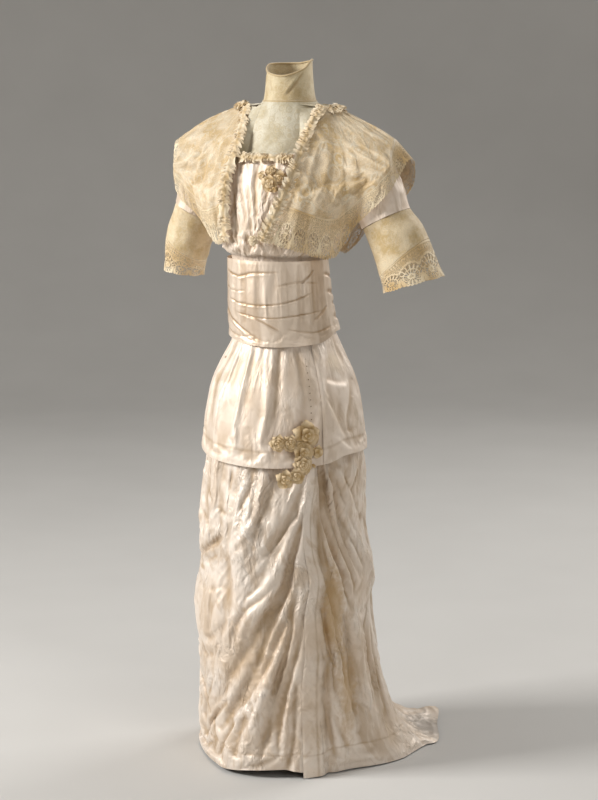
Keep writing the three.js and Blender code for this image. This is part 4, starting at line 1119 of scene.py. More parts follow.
        # The hem's facing and the band's stitching show as narrow grooves, darker along their lines.
        facing = bell(z - 5 * noise.at(arc / 60, 7), self.facing, 1.6) * (1 - train)
        panel.push(-0.9 * facing)
        marked = 0.5 * facing
        if clear:
            # Painted shade in the deep fold beside the band.
            marked = marked + bell(panel.u, clear + 0.07, 0.05) * smooth(z, 20, 120)
            stitched = bell(panel.u, 0.8 * clear, 0.012)
            panel.push(-0.5 * stitched)
            marked = marked + 0.6 * stitched
        panel.wear_and_shade = np.clip(panel.wear_and_shade + marked, 0, 1)


# --- overskirt and sash


@dataclass
class Overskirt:
    """Short overskirt of two halves, the left lying over the right, with a turned hem band."""

    form: SkirtForm
    top: float = 896
    stand_top: float = 3.6
    stand_hem: float = 7
    lap_from: float = 53
    lap_to: float = 60
    lap_stand: float = 3
    lap_fade: float = 12
    radius: float = 150
    band: float = 30
    # The pinholes: how many, their radius and angle, the heights of the first and the last, and the hem's.
    pins: int = 12
    pin: float = 1.3
    pin_angle: float = 45.0
    pin_heights: tuple[float, float] = (822, 686)
    pin_foot: float = 622
    hem: Table = sizes(
        "t z",
        (-180, 622), (-110, 634), (-70, 636), (-30, 624), (15, 619), (50, 622), (75, 634), (110, 630),
        (180, 622),
    )
    main_creases: tuple[Crease, ...] = creases_from(
        (4, 12, 20, 850, 19, 680, NO_LIP), (3.5, 10, 60, 790, 96, 775, NO_LIP),
        (4, 12, 96, 790, 72, 660, NO_LIP), (4, 15, -60, 850, -66, 640, NO_LIP),
        (4, 16, -100, 850, -106, 630, NO_LIP), (4, 16, 130, 850, 134, 630, NO_LIP),
        (4, 16, 165, 850, 168, 630, NO_LIP), (4, 16, -150, 850, -146, 630, NO_LIP),
    )
    fine_creases: tuple[Crease, ...] = creases_from(
        (2.6, 6, 19, 850, 20, 780, 18, 700), (1.6, 6, -8, 840, -4, 780, -6, 720),
        (1.6, 7, -24, 830, -22, 760), (2, 7, -40, 840, -44, 760, -42, 690),
        (1.8, 6, 38, 840, 40, 770, 39, 700), (2.6, 5, 61, 786, 74, 776, 88, 772),
        (2.8, 6, 98, 786, 88, 740, 80, 700, 84, 664), (2, 6, 72, 740, 66, 700, 62, 660),
        (2, 6, 104, 800, 108, 740, 104, 680), (1.6, 6, 64, 690, 78, 680, 92, 684),
        (2, 8, -74, 830, -80, 740, -76, 650), (2.4, 8, -120, 840, -124, 740, -120, 640),
        (2.4, 8, 150, 840, 152, 740, 148, 640), (2.4, 8, 178, 840, 176, 740, 178, 640),
        (2.4, 8, -164, 840, -162, 740, -166, 640),
    )

    def surface(self, angle: Array, share: Array, lap: int) -> Array:
        """Points of the overskirt; `lap` is 1 on the half that lies over the other."""
        z = mix(self.top, self.hem.at(angle)["z"], share)
        stand = mix(self.stand_top, self.stand_hem, smooth(share, 0.1, 0.6))
        over = lap * self.lap_stand * (1 - smooth(angle, self.lap_to, self.lap_to + self.lap_fade))
        drawn = drawn_in(self.main_creases, angle, z, self.radius) * smooth(share, 0.1, 0.3)
        return self.form.body(angle, z, stand + over - 0.6 * drawn)

    def half(self, start: float, end: float, columns: int, lap: int, seed: int) -> Sheet:
        """One half, with its finer creases, crumple, and the hem band's stitched upper edge."""
        sheet = Sheet(lambda u, v: self.surface(mix(start, end, u), v, lap), columns, 60)
        given = sheet.points
        angle = mix(start, end, sheet.u)
        z = given[..., 2]
        drawn = drawn_in(self.fine_creases, angle, z, self.radius)
        noise = SoftNoise(seed)
        arc = np.radians(angle) * self.radius
        above_hem = z - self.hem.at(angle)["z"]
        ends = sheet.inside(0.03)
        loose = smooth(above_hem, 0, 10) * smooth(sheet.v, 0.05, 0.2) * ends
        crumple = 0.7 * noise.at(arc / 30, z / 40) + 0.15 * noise.at(arc / 10, z / 12)
        sheet.push((crumple - 0.6 * drawn) * loose)
        Settling(0.003, 0.008, 0.3, self.radius, reach=3).settle(sheet, 1 - loose)
        # Painted shade in the half's own hollows, with the tan of age.
        sheet.shade_hollows(given, 2)
        sheet.wear_and_shade *= 0.8
        sheet.refined()
        above_hem, arc = finer(above_hem), finer(arc)
        z = sheet.points[..., 2]
        crinkle = noise.ridge(arc / 14 + noise.at(z / 40, 3), z / 40) + 0.6 * noise.ridge(arc / 50, z / 11)
        sheet.push(0.3 * crinkle * smooth(above_hem, 0, 12) * smooth(sheet.v, 0, 0.1))
        stitched = 0.5 * bell(above_hem, self.band, 2)
        rolled = 0.8 * (1 - smooth(above_hem, 0, 5))
        sheet.push(rolled - stitched)
        sheet.wear_and_shade = np.clip(sheet.wear_and_shade + 0.5 * bell(above_hem, self.band, 3), 0, 1)
        return sheet

    def build(self, satin: Finish, thread: Finish) -> None:
        """Makes both halves and the row of pinholes beside the overlap."""
        sheet = self.half(-179.9, self.lap_to, 110, 0, 21)
        piece = sheet.build("overskirt_right_half")
        finish_piece(piece, satin, ["overskirt_right"], Cut(0.62, 0.31, Hold.DRAPED, 0.17))
        sheet = self.half(self.lap_from, 179.9, 60, 1, 22)
        piece = sheet.build("overskirt_left_half")
        finish_piece(piece, satin, ["overskirt_left"], Cut(0.36, 0.31, Hold.DRAPED, 0.09))
        angles = np.full(self.pins, self.pin_angle)
        heights = np.linspace(*self.pin_heights, self.pins)
        centres = self.surface(angles, (self.top - heights) / (self.top - self.pin_foot), 0)
        # Dark discs at the unpicked stitch holes: painted shadow inside each hole.
        pins = dots(centres, outward(angles), self.pin, 0.5)
        piece = join_mesh("unpicked_stitch_holes", pins)
        finish_piece(piece, thread)


def outward(angle: Array) -> Array:
    """Level unit vectors that point out of the body at angles."""
    turn = np.radians(np.asarray(angle, float))
    return np.stack([np.sin(turn), -np.cos(turn), np.zeros_like(turn)], axis=-1)


def dots(centres: Array, ways: Array, radius: float, height: float) -> bmesh.types.BMesh:
    """Small flat discs, such as stitches or pinholes, laid on a surface."""
    mesh = bmesh.new()
    for centre, way in zip(centres, ways):
        made = bmesh.ops.create_uvsphere(mesh, u_segments=8, v_segments=4, radius=radius * MM)
        turn = Vector((0, 0, 1)).rotation_difference(Vector(way))
        for vert in made["verts"]:
            vert.co.z *= height
            vert.co = turn @ vert.co + Vector(to_metres(centre))
    return mesh


def join_mesh(name: str, mesh: bmesh.types.BMesh) -> Piece:
    """Turns finished mesh data into a smooth object."""
    bmesh.ops.recalc_face_normals(mesh, faces=mesh.faces)
    data = bpy.data.meshes.new(name)
    mesh.to_mesh(data)
    mesh.free()
    data.shade_smooth()
    return add_object(name, data)


@dataclass
class Sash:
    """Wide satin sash drawn round the waist in long, uneven creases."""

    top: float = 1010
    ease: float = 1
    radius: float = 100
    sections: Table = sizes(
        "z a f b cx cy",
        (840, 115, 112, 114, -2, -8), (863, 110, 107, 108, -2, -9), (890, 107, 103, 101, -4, -15),
        (922, 104, 99, 95, -5, -21), (965, 102, 93, 87, -7, -24), (1012, 101, 87, 80, -9, -26),
    )
    foot: Table = sizes(
        "t z",
        (-180, 858), (-70, 858), (10, 845), (60, 850), (95, 868), (180, 858),
    )
    creases: tuple[Crease, ...] = creases_from(
        (2.4, 1.8, -48, 936, -34, 929, -8, 925, 20, 928, 44, 938, 62, 950),
        (2, 1.7, -34, 910, -10, 903, 14, 901, 40, 906, 76, 914),
        (3.6, 3, -66, 914, -44, 896, -22, 876, 0, 852), (2, 2, -60, 904, -40, 884, -24, 868),
        (2.4, 2.2, -16, 906, 2, 894, 22, 874), (2.2, 2.4, -62, 990, -28, 979, -8, 986, 26, 990),
        (2.4, 2.2, 48, 968, 58, 980, 66, 992), (2.6, 2.2, 60, 896, 72, 908, 84, 922),
        (1.2, 2, -60, 958, -38, 950, -18, 952), (1.2, 2, 20, 962, 44, 970, 70, 966),
        (1.4, 2, -56, 872, -30, 862, -4, 866), (1.6, 2, 28, 880, 56, 872, 86, 882),
        (3.4, 5, -175, 930, -130, 938, -70, 940), (3.4, 5, -170, 890, -120, 902, -80, 900),
        (2.6, 4, -160, 975, -120, 970, -80, 982), (3, 4, -150, 912, -110, 918, -72, 926),
        (3.4, 5, 85, 950, 130, 938, 178, 935), (3.4, 5, 90, 900, 140, 888, 178, 890),
        (3, 4, 80, 985, 120, 972, 160, 975), (2.6, 4, 96, 925, 140, 916, 176, 914),
    )

    # Stretches of painted shade between paler upright strips of painted sheen, as an angle and how far each
    # reaches round.
    painted_shade_stretches: tuple[tuple[float, float], ...] = ((-66, 14), (-12, 14), (72, 12), (-150, 20), (150, 24))

    def shaded(self, angle: Array) -> Array:
        """How much shade is painted on the satin round the waist, 0 to 1."""
        return sum(1 - smooth(np.abs(angle - middle), 0.8 * half, half) for middle, half in self.painted_shade_stretches)

    def surface(self, u: Array, v: Array) -> Array:
        """Points of the sash."""
        angle = mix(-180, 180, u)
        z = mix(self.top, self.foot.at(angle)["z"], v)
        return on_oval(self.sections.at(z), angle, z, self.ease)

    def build(self, satin: Finish) -> None:
        """Makes the sash."""
        sheet = Sheet(self.surface, 170, 52, closed=True)
        given = sheet.points
        angle = mix(-180, 180, sheet.u)
        z = given[..., 2]
        noise = SoftNoise(31)
        arc = np.radians(angle) * self.radius
        free = smooth(180 - np.abs(angle), 1, 14) * sheet.between(0.06)
        soft = 0.5 * noise.at(arc / 26, z / 60) + 0.8 * noise.ridge(arc / 90, z / 16 + noise.at(arc / 60, 4))
        sheet.push(soft * free)
        Settling(0.004, radius=self.radius, reach=3, bending=0.3).settle(sheet, 1 - free)
        sheet.shade_hollows(given, 2.4, 3)
        sheet.refined()
        angle, z, free = finer(angle), finer(z), finer(free)
        drawn = drawn_in(self.creases, angle, z, self.radius) * free
        sheet.push(-0.6 * drawn)
        # Tan in the hollows and creases, age together with painted shade, and painted shade in the stretches
        # between the paler strips.
        panels = 0.45 * self.shaded(angle)
        sheet.wear_and_shade = np.clip(0.6 * sheet.wear_and_shade + 0.6 * np.clip(drawn, 0, 3) + panels, 0, 1)
        piece = sheet.build("draped_sash")
        finish_piece(piece, satin, ["sash"], Cut(0.66, 0.2, Hold.GATHERED, 0.105))


# --- under-bodice, collar and yoke


@dataclass
class UnderBodice:
    """Satin under-bodice, gathered where the sash draws it in."""

    foot: float = 931
    nip: float = 1012
    nip_share: float = 0.78
    radius: float = 125
    body: Table = sizes(
        "z a f b cx cy",
        (930, 94, 87, 81, -6, -23), (960, 93, 84, 77, -7, -24), (1000, 92, 79, 71, -9, -26),
        (1012, 93, 79, 71, -9, -26), (1030, 106, 96, 80, -6, -22), (1060, 118, 110, 91, -3, -16),
        (1110, 134, 118, 96, 0, -8), (1160, 143, 114, 100, 0, -2), (1210, 146, 92, 94, 0, 2),
        (1245, 143, 68, 76, 0, 6), (1275, 118, 48, 54, 0, 8),
    )
    front_top: Table = sizes(
        "t z",
        (-88, 1096), (-66, 1190), (-52, 1240), (-36, 1220), (0, 1212), (36, 1220), (52, 1240), (66, 1190),
        (88, 1096),
    )
    back_top: Table = sizes(
        "t z",
        (92, 1096), (112, 1180), (128, 1240), (150, 1252), (180, 1248), (210, 1252), (232, 1240),
        (248, 1180), (268, 1096),
    )
    creases: tuple[Crease, ...] = creases_from(
        (3.4, 4, -6, 1196, -6, 1150, -3, 1100, -2, 1050),
        (2.6, 4, -22, 1200, -20, 1150, -14, 1090, -12, 1040), (2.4, 4, -32, 1180, -28, 1120, -24, 1060),
        (2.4, 4, 4, 1200, 6, 1160, 3, 1110), (2.6, 4, 14, 1150, 8, 1110, 2, 1070),
        (2.4, 4, -14, 1160, -10, 1110, -8, 1060), (2.6, 4, 18, 1120, 10, 1080, 4, 1050),
        (2.2, 3.5, -26, 1140, -34, 1090),
    )

    def surface(self, angle: Array, z: Array, out: Value = 0) -> Array:
        """Points of the bodice, puffed out above the sash."""
        puffed = smooth(z, 1016, 1034) * (1 - smooth(z, 1034, 1110))
        wave = np.cos(np.radians(angle * 22)) + 0.5 * np.sin(np.radians(angle * 9))
        return on_oval(self.body.at(z), angle, z, out + 3 * puffed * wave)

    def panel(self, start: float, end: float, top: Table, columns: int, seed: int) -> Sheet:
        """One panel with its gathers."""

        def surface(u: Array, v: Array) -> Array:
            """Points from the top edge in to the nip, and from there down under the sash."""
            angle = mix(start, end, u)
            height = top.at(angle)["z"]
            above = mix(height, self.nip, np.clip(v / self.nip_share, 0, 1))
            below = mix(self.nip, self.foot, np.clip((v - self.nip_share) / (1 - self.nip_share), 0, 1))
            return self.surface(angle, np.where(v < self.nip_share, above, below))

        sheet = Sheet(surface, columns, 60)
        given = sheet.points
        angle = mix(start, end, sheet.u)
        z = given[..., 2]
        arc = np.radians(angle) * self.radius
        noise = SoftNoise(seed)
        gather = smooth(z, 1014, 1030) * (1 - smooth(z, 1045, 1120))
        pleat = noise.ridge(arc / 9 + 0.8 * noise.at(z / 22, 1), z / 30)
        drawn = 0.6 * drawn_in(self.creases, angle, z, self.radius)
        shown = smooth(z, 1012, 1022) * smooth(sheet.v, 0, 0.04)
        ends = sheet.inside(0.03)
        crumple = 0.9 * noise.ridge((arc - 0.5 * z) / 18, (z + 0.5 * arc) / 40)
        sheet.push((6 * gather * pleat + crumple - drawn) * shown * ends)
        Settling(0.03, 0.03, 0.4, self.radius, reach=3).settle(sheet, 1 - shown * ends)
        # Painted shade in the gathers' hollows and creases, with the tan of age.
        sheet.shade_hollows(given, 2, 3)
        sheet.wear_and_shade = np.clip(sheet.wear_and_shade + 0.2 * np.clip(drawn, 0, 4), 0, 1) * shown
        return sheet.refined()

    def build(self, satin: Finish) -> None:
        """Makes the front and the back."""
        front = self.panel(-88, 88, self.front_top, 115, 41)
        cut = Cut(0.46, 0.34, Hold.GATHERED, 0.115)
        finish_piece(front.build("under_bodice_front"), satin, ["bodice_front"], cut)
        back = self.panel(88.3, 271.7, self.back_top, 80, 42)
        cut = Cut(0.45, 0.34, Hold.GATHERED, 0.115)
        finish_piece(back.build("under_bodice_back"), satin, ["bodice_back"], cut)


@dataclass
class Neck:
    """High boned net collar with a bound top, and the net yoke that fills the neckline."""

    foot: float = 1312
    back_share: float = 0.55
    binding: float = 2.0
    tape: float = 2.4
    side_angle: float = 38
    side_bow: float = 3
    shoulder_share: float = 0.1
    sections: Table = sizes(
        "z a f b cx cy",
        (1308, 52, 53, 54, 3, 4), (1330, 48, 49, 50, 3, 4), (1360, 45, 46, 47, 3, 4),
        (1400, 43, 45, 46, 3, 4),
    )
    top: Table = sizes(
        "t z",
        (-180, 1384), (-100, 1383), (-40, 1366), (5, 1360), (60, 1372), (105, 1391), (145, 1388),
        (180, 1384),
    )
    yoke: Table = sizes(
        "v a f b cx cy z",
        (0, 53, 54, 55, 3, 4, 1311), (0.25, 64, 57, 57, 2, 4, 1301), (0.5, 74, 62, 60, 1, 4, 1282),
        (0.75, 82, 72, 74, 0, 3, 1248), (1, 90, 86, 84, 0, 2, 1206),
    )
    creases: tuple[Crease, ...] = creases_from(
        (1.6, 3, 62, 1368, 38, 1345, 16, 1322, 0.8), (1.2, 3, -30, 1352, -20, 1330, 0.6),
        (1.2, 3, -60, 1366, -48, 1336, -44, 1318, 0.6), (1.2, 3, 104, 1380, 112, 1345, 110, 1318, 0.6),
        (1.2, 3, -120, 1372, -128, 1340, -126, 1318, 0.6),
    )

    def collar_surface(self, u: Array, v: Array) -> Array:
        """Points of the collar."""
        angle = mix(-180, 180, u)
        z = mix(self.top.at(angle)["z"], self.foot, v)
        return on_oval(self.sections.at(z), angle, z)

    def yoke_surface(self, u: Array, v: Array) -> Array:
        """Points of the yoke, which ends higher at the back."""
        angle = mix(-180, 180, u)
        front = smooth(np.cos(np.radians(angle)), -0.2, 0.5)
        rings = self.yoke.at(v * mix(self.back_share, 1, front))
        return on_oval(rings, angle, rings["z"])

    def side_net(self, edge: Array, side: int) -> Sheet:
        """Net that joins the yoke to the inner edge of one front, whose points run down `edge`."""
        rows = len(edge) - 1

        def surface(u: Array, v: Array) -> Array:
            """Points between the front's edge and the yoke at the same height."""
            outer = edge[np.rint(v * rows).astype(int)]
            rings = self.yoke.at(np.interp(-outer[..., 2], -self.yoke.rows[:, 6], self.yoke.rows[:, 0]))
            inner = on_oval(rings, np.full_like(u, side * self.side_angle), outer[..., 2], 0.6)
            points = mix(outer, inner, u[..., None])
            bow = self.side_bow * np.sin(np.pi * u) * smooth(v, 0, 0.3)
            return points + outward(np.full_like(u, side * self.side_angle)) * bow[..., None]

        return Sheet(surface, 16, rows)

    def shoulder_net(self, edge: Array) -> Sheet:
        """Net from the collar's foot out to the over-bodice.

        Args:
            edge: Points of the over-bodice's neck edge, from its right front round the back to its left.

        Returns:
            The sheet.
        """
        columns = len(edge) - 1
        turn = np.degrees(np.unwrap(np.arctan2(edge[:, 0], -edge[:, 1])))
        share = np.linspace(-1, 1, len(edge))
        at_front = np.where(share < 0, -self.side_angle, self.side_angle - 360)
        turn = mix(turn, at_front, smooth(np.abs(share), 0.75, 1))

        def surface(u: Array, v: Array) -> Array:
            """Points between the neck edge and the collar's foot."""
            i = np.rint(u * columns).astype(int)
            rings = self.yoke.at(np.full_like(u, self.shoulder_share))
            inner = on_oval(rings, turn[i], rings["z"], 0.8)
            return mix(edge[i], inner, v[..., None])

        return Sheet(surface, columns, 12)

    def build(self, net: Finish, collar_net: Finish, tape: Finish) -> None:
        """Makes the collar, yoke, top binding and the tape over their seam."""
        collar = Sheet(self.collar_surface, 120, 36, closed=True)
        angle = mix(-180, 180, collar.u)
        drawn = drawn_in(self.creases, angle, collar.points[..., 2], 48)
        collar.push(-drawn * smooth(1 - collar.v, 0, 0.2))
        # Tan in the collar's creases: painted shade, with the tan of age.
        collar.wear_and_shade = np.clip(drawn / 1.6, 0, 1)
        cut = Cut(0.33, 0.085, Hold.STRETCHED, 0.021)
        finish_piece(collar.build("standing_collar"), collar_net, ["collar"], cut)
        yoke = Sheet(self.yoke_surface, 130, 60, closed=True)
        noise = SoftNoise(51)
        off_seam = smooth(1 - np.abs(yoke.u * 2 - 1), 0, 0.05)
        yoke.push(0.8 * noise.at(yoke.u * 40, yoke.v * 3) * smooth(yoke.v, 0, 0.3) * off_seam)
        cut = Cut(0.5, 0.14, Hold.STRETCHED, 0.033)
        finish_piece(yoke.build("net_yoke"), net, ["chemisette"], cut)
        u = np.linspace(0, 1, 121)[:-1]
        rim = self.collar_surface(u, np.zeros_like(u))
        piece = cord_ring("collar_top_binding", rim, self.binding, 1.0)
        finish_piece(piece, tape)
        foot = np.full_like(u, self.foot)
        seam = on_oval(self.sections.at(foot), mix(-180, 180, u), foot - 0.5, 0.6)
        piece = cord_ring("collar_seam_tape", seam, self.tape, 0.45)
        finish_piece(piece, tape)


def cord_ring(name: str, line: Array, height: float, thick: float) -> Piece:
    """Closed ring of flat oval cord, such as a binding.

    Args:
        name: The piece's name.
        line: Points in millimetres.
        height: Half height of its section.
        thick: Half thickness, level, as a share of the height.

    Returns:
        The new object.
    """
    sides = 8
    turns = np.linspace(0, TURN, sides, endpoint=False)
    ahead = np.roll(line, -1, axis=0) - np.roll(line, 1, axis=0)
    ahead = ahead / np.linalg.norm(ahead, axis=1, keepdims=True)
    level = np.cross(ahead, (0, 0, 1))
    level = level / np.maximum(np.linalg.norm(level, axis=1, keepdims=True), 1e-6)
    up = np.cross(level, ahead)
    mesh = bmesh.new()
    rings = []
    for centre, side, rise in zip(line, level, up):
        ring = [centre + height * (thick * math.cos(t) * side + math.sin(t) * rise) for t in turns]
        rings.append([mesh.verts.new(to_metres(point)) for point in ring])
    for one, two in zip(rings, rings[1:] + rings[:1]):
        for k in range(sides):
            mesh.faces.new((one[k], one[(k + 1) % sides], two[(k + 1) % sides], two[k]))
    return join_mesh(name, mesh)


# --- sleeves and cuffs

# How deep the large scallops are, as a share of the lace's width, and how round all of them are.
SCALLOP = 0.06
ROUNDNESS = 0.6


def scalloped(u: Array, repeats: int, loops: int, loop_depth: float) -> Array:
    """Share of its width that a lace reaches, with small loops round each scallop.

    Args:
        u: Shares of the way along the lace.
        repeats: Scallops along it.
        loops: Small loops in each scallop.
        loop_depth: Depth of the loops, as a share of the width.

    Returns:
        The share at each place.
    """
    bow = np.abs(np.sin(np.pi * repeats * u)) ** ROUNDNESS
    loop = np.abs(np.sin(np.pi * repeats * loops * u)) ** ROUNDNESS
    return 1 - SCALLOP * (1 - bow) - loop_depth * (1 - loop)


@dataclass
class Sleeve:
    """One arm: short satin sleeve, net sleeve below it, lace cuff."""

    word: str
    side: int
    rings: Table
    seam: float = 3
    cuff_outer: float = 4.6
    cuff_inner: float = 5.6
    repeats: int = 4
    loops: int = 6
    loop_depth: float = 0.07
    cuff_cuts: dict[str, Cut] = field(
        default_factory=lambda: {
            "outer": Cut(0.19, 0.08, Hold.DRAPED, 0.0105),
            "inner": Cut(0.17, 0.055, Hold.DRAPED, 0.006),
        }
    )

    def surface(self, turn: Array, place: Array) -> Array:
        """Points of the sleeve: turn in degrees (0 front, 90 outer side), place down it in rings."""
        ring = self.rings.at(place)
        lean = np.radians(ring["lean"])
        across = ring["half"] * np.sin(np.radians(turn))
        x = ring["x"] + across * np.cos(lean)
        y = ring["y"] - ring["deep"] * np.cos(np.radians(turn))
        z = ring["z"] + across * np.sin(lean)
        return np.stack([self.side * x, y, z], axis=-1)

    def cuff_start(self, turn: Array) -> Array:
        """Place of the cuff's seam, higher on the outer side of the arm."""
        return mix(self.cuff_inner, self.cuff_outer, 0.5 + 0.5 * np.sin(np.radians(turn)))

    def tube(self, start: Callable[[Array], Array], end: Callable[[Array], Array], rows: int) -> Sheet:
        """Closed stretch of the sleeve between two places."""

        def surface(u: Array, v: Array) -> Array:
            """Points round the arm."""
            turn = self.side * 360 * u
            return self.surface(turn, mix(start(turn), end(turn), v))

        return Sheet(surface, 96, rows, closed=True)

    def build(self, satin: Finish, net: Finish, lace: Finish) -> None:
        """Makes the sleeve's pieces."""
        noise = SoftNoise(61 + self.side)
        end = self.seam - 0.01
        upper = self.tube(np.zeros_like, lambda turn: np.full_like(turn, end), 60)
        wrap = smooth(0.5 - np.abs(upper.u - 0.5), 0, 0.04)
        folds = 2.2 * noise.ridge(upper.u * 9, upper.v * 2.4 + noise.at(upper.u * 5, 3))
        folds = folds + 0.8 * noise.at(upper.u * 22, upper.v * 8)
        upper.push(folds * wrap * smooth(upper.v, 0.05, 0.3))
        # Darker between the folds: painted shade in their hollows.
        upper.wear_and_shade = np.clip(0.6 - folds / 2, 0, 1) * 0.5
        piece = upper.build(f"satin_sleeve_{self.word}_shell")
        cut = Cut(0.36, 0.13, Hold.DRAPED, 0.032)
        finish_piece(piece, satin, [f"satin_sleeve_{self.word}"], cut)
        lower = self.tube(lambda turn: np.full_like(turn, self.seam + 0.01), self.cuff_start, 60)
        wrap = smooth(0.5 - np.abs(lower.u - 0.5), 0, 0.04)
        free = smooth(lower.v, 0, 0.15) * smooth(1 - lower.v, 0, 0.1)
        lower.push(1.6 * noise.at(lower.u * 16 + 7, lower.v * 3) * wrap * free)
        piece = lower.build(f"net_sleeve_{self.word}_shell")
        finish_piece(piece, net, [f"net_sleeve_{self.word}"], Cut(0.36, 0.13, Hold.DRAPED, 0.028))
        for part, start, end in (("outer", 0.3, 179.7), ("inner", 180.3, 359.7)):
            low, high = (start, end) if self.side > 0 else (end, start)
            sheet = Sheet(lambda u, v: self.cuff_surface(mix(low, high, u), u, v), 120, 30)
            wave = 1.5 * np.sin(2 * np.pi * self.repeats * sheet.u) * np.sin(np.pi * sheet.u)
            sheet.push(wave * smooth(sheet.v, 0.2, 1))
            piece = sheet.build(f"lace_cuff_{self.word}_{part}", repeat=(self.repeats, 1))
            finish_piece(piece, lace, [f"cuff_{self.word}_{part}"], self.cuff_cuts[part])

    def cuff_surface(self, turn: Array, u: Array, v: Array) -> Array:
        """Points of the cuff, its lower edge scalloped."""
        reach = scalloped(u, self.repeats, self.loops, self.loop_depth)
        last = self.rings.rows[-1, 0]
        return self.surface(turn, mix(self.cuff_start(turn) + 0.02, last, v * reach))


# --- net over-bodice and its lace


@dataclass
class OverBodice:
    """Net over-bodice cut in one with its shoulder flanges, bordered with scalloped lace."""

    lace_start: float = 0.74
    back_seam: float = 5.5
    loops: int = 5
    loop_depth: float = 0.112
    repeats: dict[str, int] = field(default_factory=lambda: {"left": 14, "right": 14, "back": 16})
    # Each piece's width and length, and the areas of its net and its lace.
    cuts: dict[str, tuple[float, ...]] = field(
        default_factory=lambda: {
            "left": (0.62, 0.2, 0.042, 0.022),
            "right": (0.6, 0.19, 0.038, 0.0165),
            "back": (0.66, 0.24, 0.082, 0.034),
        }
    )
    # Ribs on the wearer's left, from the front edge over the shoulder to the middle of the back: each
    # runs from the neck to the lace's outer edge through two places between.
    ribs: tuple = (
        ((80, -12, 1303), (70, -68, 1246), (56, -128, 1150), (10, -140, 1050)),
        ((86, -6, 1303), (104, -64, 1240), (100, -120, 1132), (76, -114, 1030)),
        ((90, 0, 1302), (134, -58, 1226), (142, -92, 1120), (122, -56, 1014)),
        ((93, 4, 1302), (166, -60, 1216), (182, -70, 1146), (166, -58, 1074)),
        ((95, 8, 1302), (182, -38, 1240), (230, -58, 1190), (236, -58, 1142)),
        ((97, 12, 1302), (166, 8, 1272), (218, 6, 1245), (260, 2, 1207)),
        ((95, 18, 1301), (182, 50, 1240), (230, 64, 1190), (234, 66, 1142)),
        ((92, 26, 1300), (166, 70, 1216), (180, 80, 1146), (156, 62, 1072)),
        ((82, 38, 1299), (128, 80, 1226), (136, 100, 1120), (96, 70, 1014)),
        ((48, 60, 1298), (66, 92, 1234), (74, 112, 1130), (56, 92, 1022)),
        ((0, 70, 1297), (0, 98, 1238), (0, 114, 1136), (0, 98, 1026)),
    )
    # The wearer's right front hangs straight, and its shoulder flange is shorter.
    right_ribs: tuple = (
        ((80, -12, 1304), (70, -66, 1246), (78, -118, 1150), (78, -114, 1044)),
        ((86, -6, 1304), (106, -63, 1240), (112, -112, 1132), (102, -100, 1036)),
        ((90, 0, 1304), (134, -58, 1232), (146, -90, 1126), (132, -72, 1046)),
        ((93, 4, 1305), (164, -60, 1226), (178, -70, 1150), (166, -60, 1086)),
        ((95, 8, 1306), (180, -38, 1248), (218, -58, 1196), (216, -58, 1136)),
        ((97, 12, 1306), (160, 8, 1284), (206, 6, 1258), (248, 2, 1232)),
    )

    def __post_init__(self) -> None:
        """Completes both sides' ribs, past the middle of the back."""
        mirrored = tuple((-x, y, z) for x, y, z in self.ribs[-2])
        left = self.ribs + (mirrored,)
        right = self.right_ribs + self.ribs[len(self.right_ribs) :] + (mirrored,)
        self.knots = {1: np.array(left, float), -1: np.array(right, float)}
        self.last = len(self.ribs) - 1

    def surface(self, side: Array, rib: Array, share: Array) -> Array:
        """Points of the over-bodice.

        Args:
            side: 1 on the wearer's left, -1 on the right.
            rib: Place round it, counted in ribs.
            share: Share of the way from the neck to the edge.

        Returns:
            Points in millimetres.
        """
        side, rib, share = np.broadcast_arrays(side, np.asarray(rib, float), np.asarray(share, float))
        points = np.where((side > 0)[..., None], self.one_side(1, rib, share), self.one_side(-1, rib, share))
        points[..., 0] *= side
        return points

    def one_side(self, side: int, rib: Array, share: Array) -> Array:
        """Points as if all of it were on one side, its X positive."""
        across = np.stack([blend(self.knots[side][:, k], rib) for k in range(4)])
        place = np.clip(share * 3, 0, 3)
        i = np.clip(np.floor(place).astype(int), 0, 2)
        k = (place - i)[..., None]
        near = (np.clip(i + step, 0, 3)[None, ..., None] for step in AROUND)
        p0, p1, p2, p3 = (np.take_along_axis(across, at, axis=0)[0] for at in near)
        points = through(p0, p1, p2, p3, k) + (share * 3 - place)[..., None] * (p2 - p0) * 0.5
        wave = np.sin(rib * 9 + 2.2 * share * side)
        fold = 2.6 * np.sin(np.pi * share) * wave * (1 - smooth(points[..., 2], 1200, 1270))
        level = points * (1, 1, 0)
        level = level / np.maximum(np.linalg.norm(level, axis=-1, keepdims=True), 1e-6)
        return points + level * fold[..., None]

    def panel(self, word: str, u: Array) -> tuple[Array, Array]:
        """Side and rib at a share across a piece: fronts run from edge to seam, the back across."""
        if word == "left":
            return np.ones_like(u), mix(0, self.back_seam - 0.01, u)
        if word == "right":
            return -np.ones_like(u), mix(self.back_seam - 0.01, 0, u)
        span = self.last - self.back_seam
        half = span * 2 * u
        first = half <= span
        return np.where(first, 1, -1), np.where(first, self.back_seam + half, self.last - (half - span))

    def build(self, net: Finish, lace: Finish) -> None:
        """Makes the three net pieces and their lace borders."""
        for number, (word, cut) in enumerate(self.cuts.items()):
            count = self.repeats[word]
            width, length, net_area, lace_area = cut

            def net_surface(u: Array, v: Array, word: str = word) -> Array:
                """Points of the net, down to its lace."""
                return self.surface(*self.panel(word, u), v * (self.lace_start - 0.0015))

            def lace_surface(u: Array, v: Array, word: str = word, count: int = count) -> Array:
                """Points of the lace, its edge scalloped."""
                reach = scalloped(u, count, self.loops, self.loop_depth)
                return self.surface(*self.panel(word, u), mix(self.lace_start, 1, v * reach))

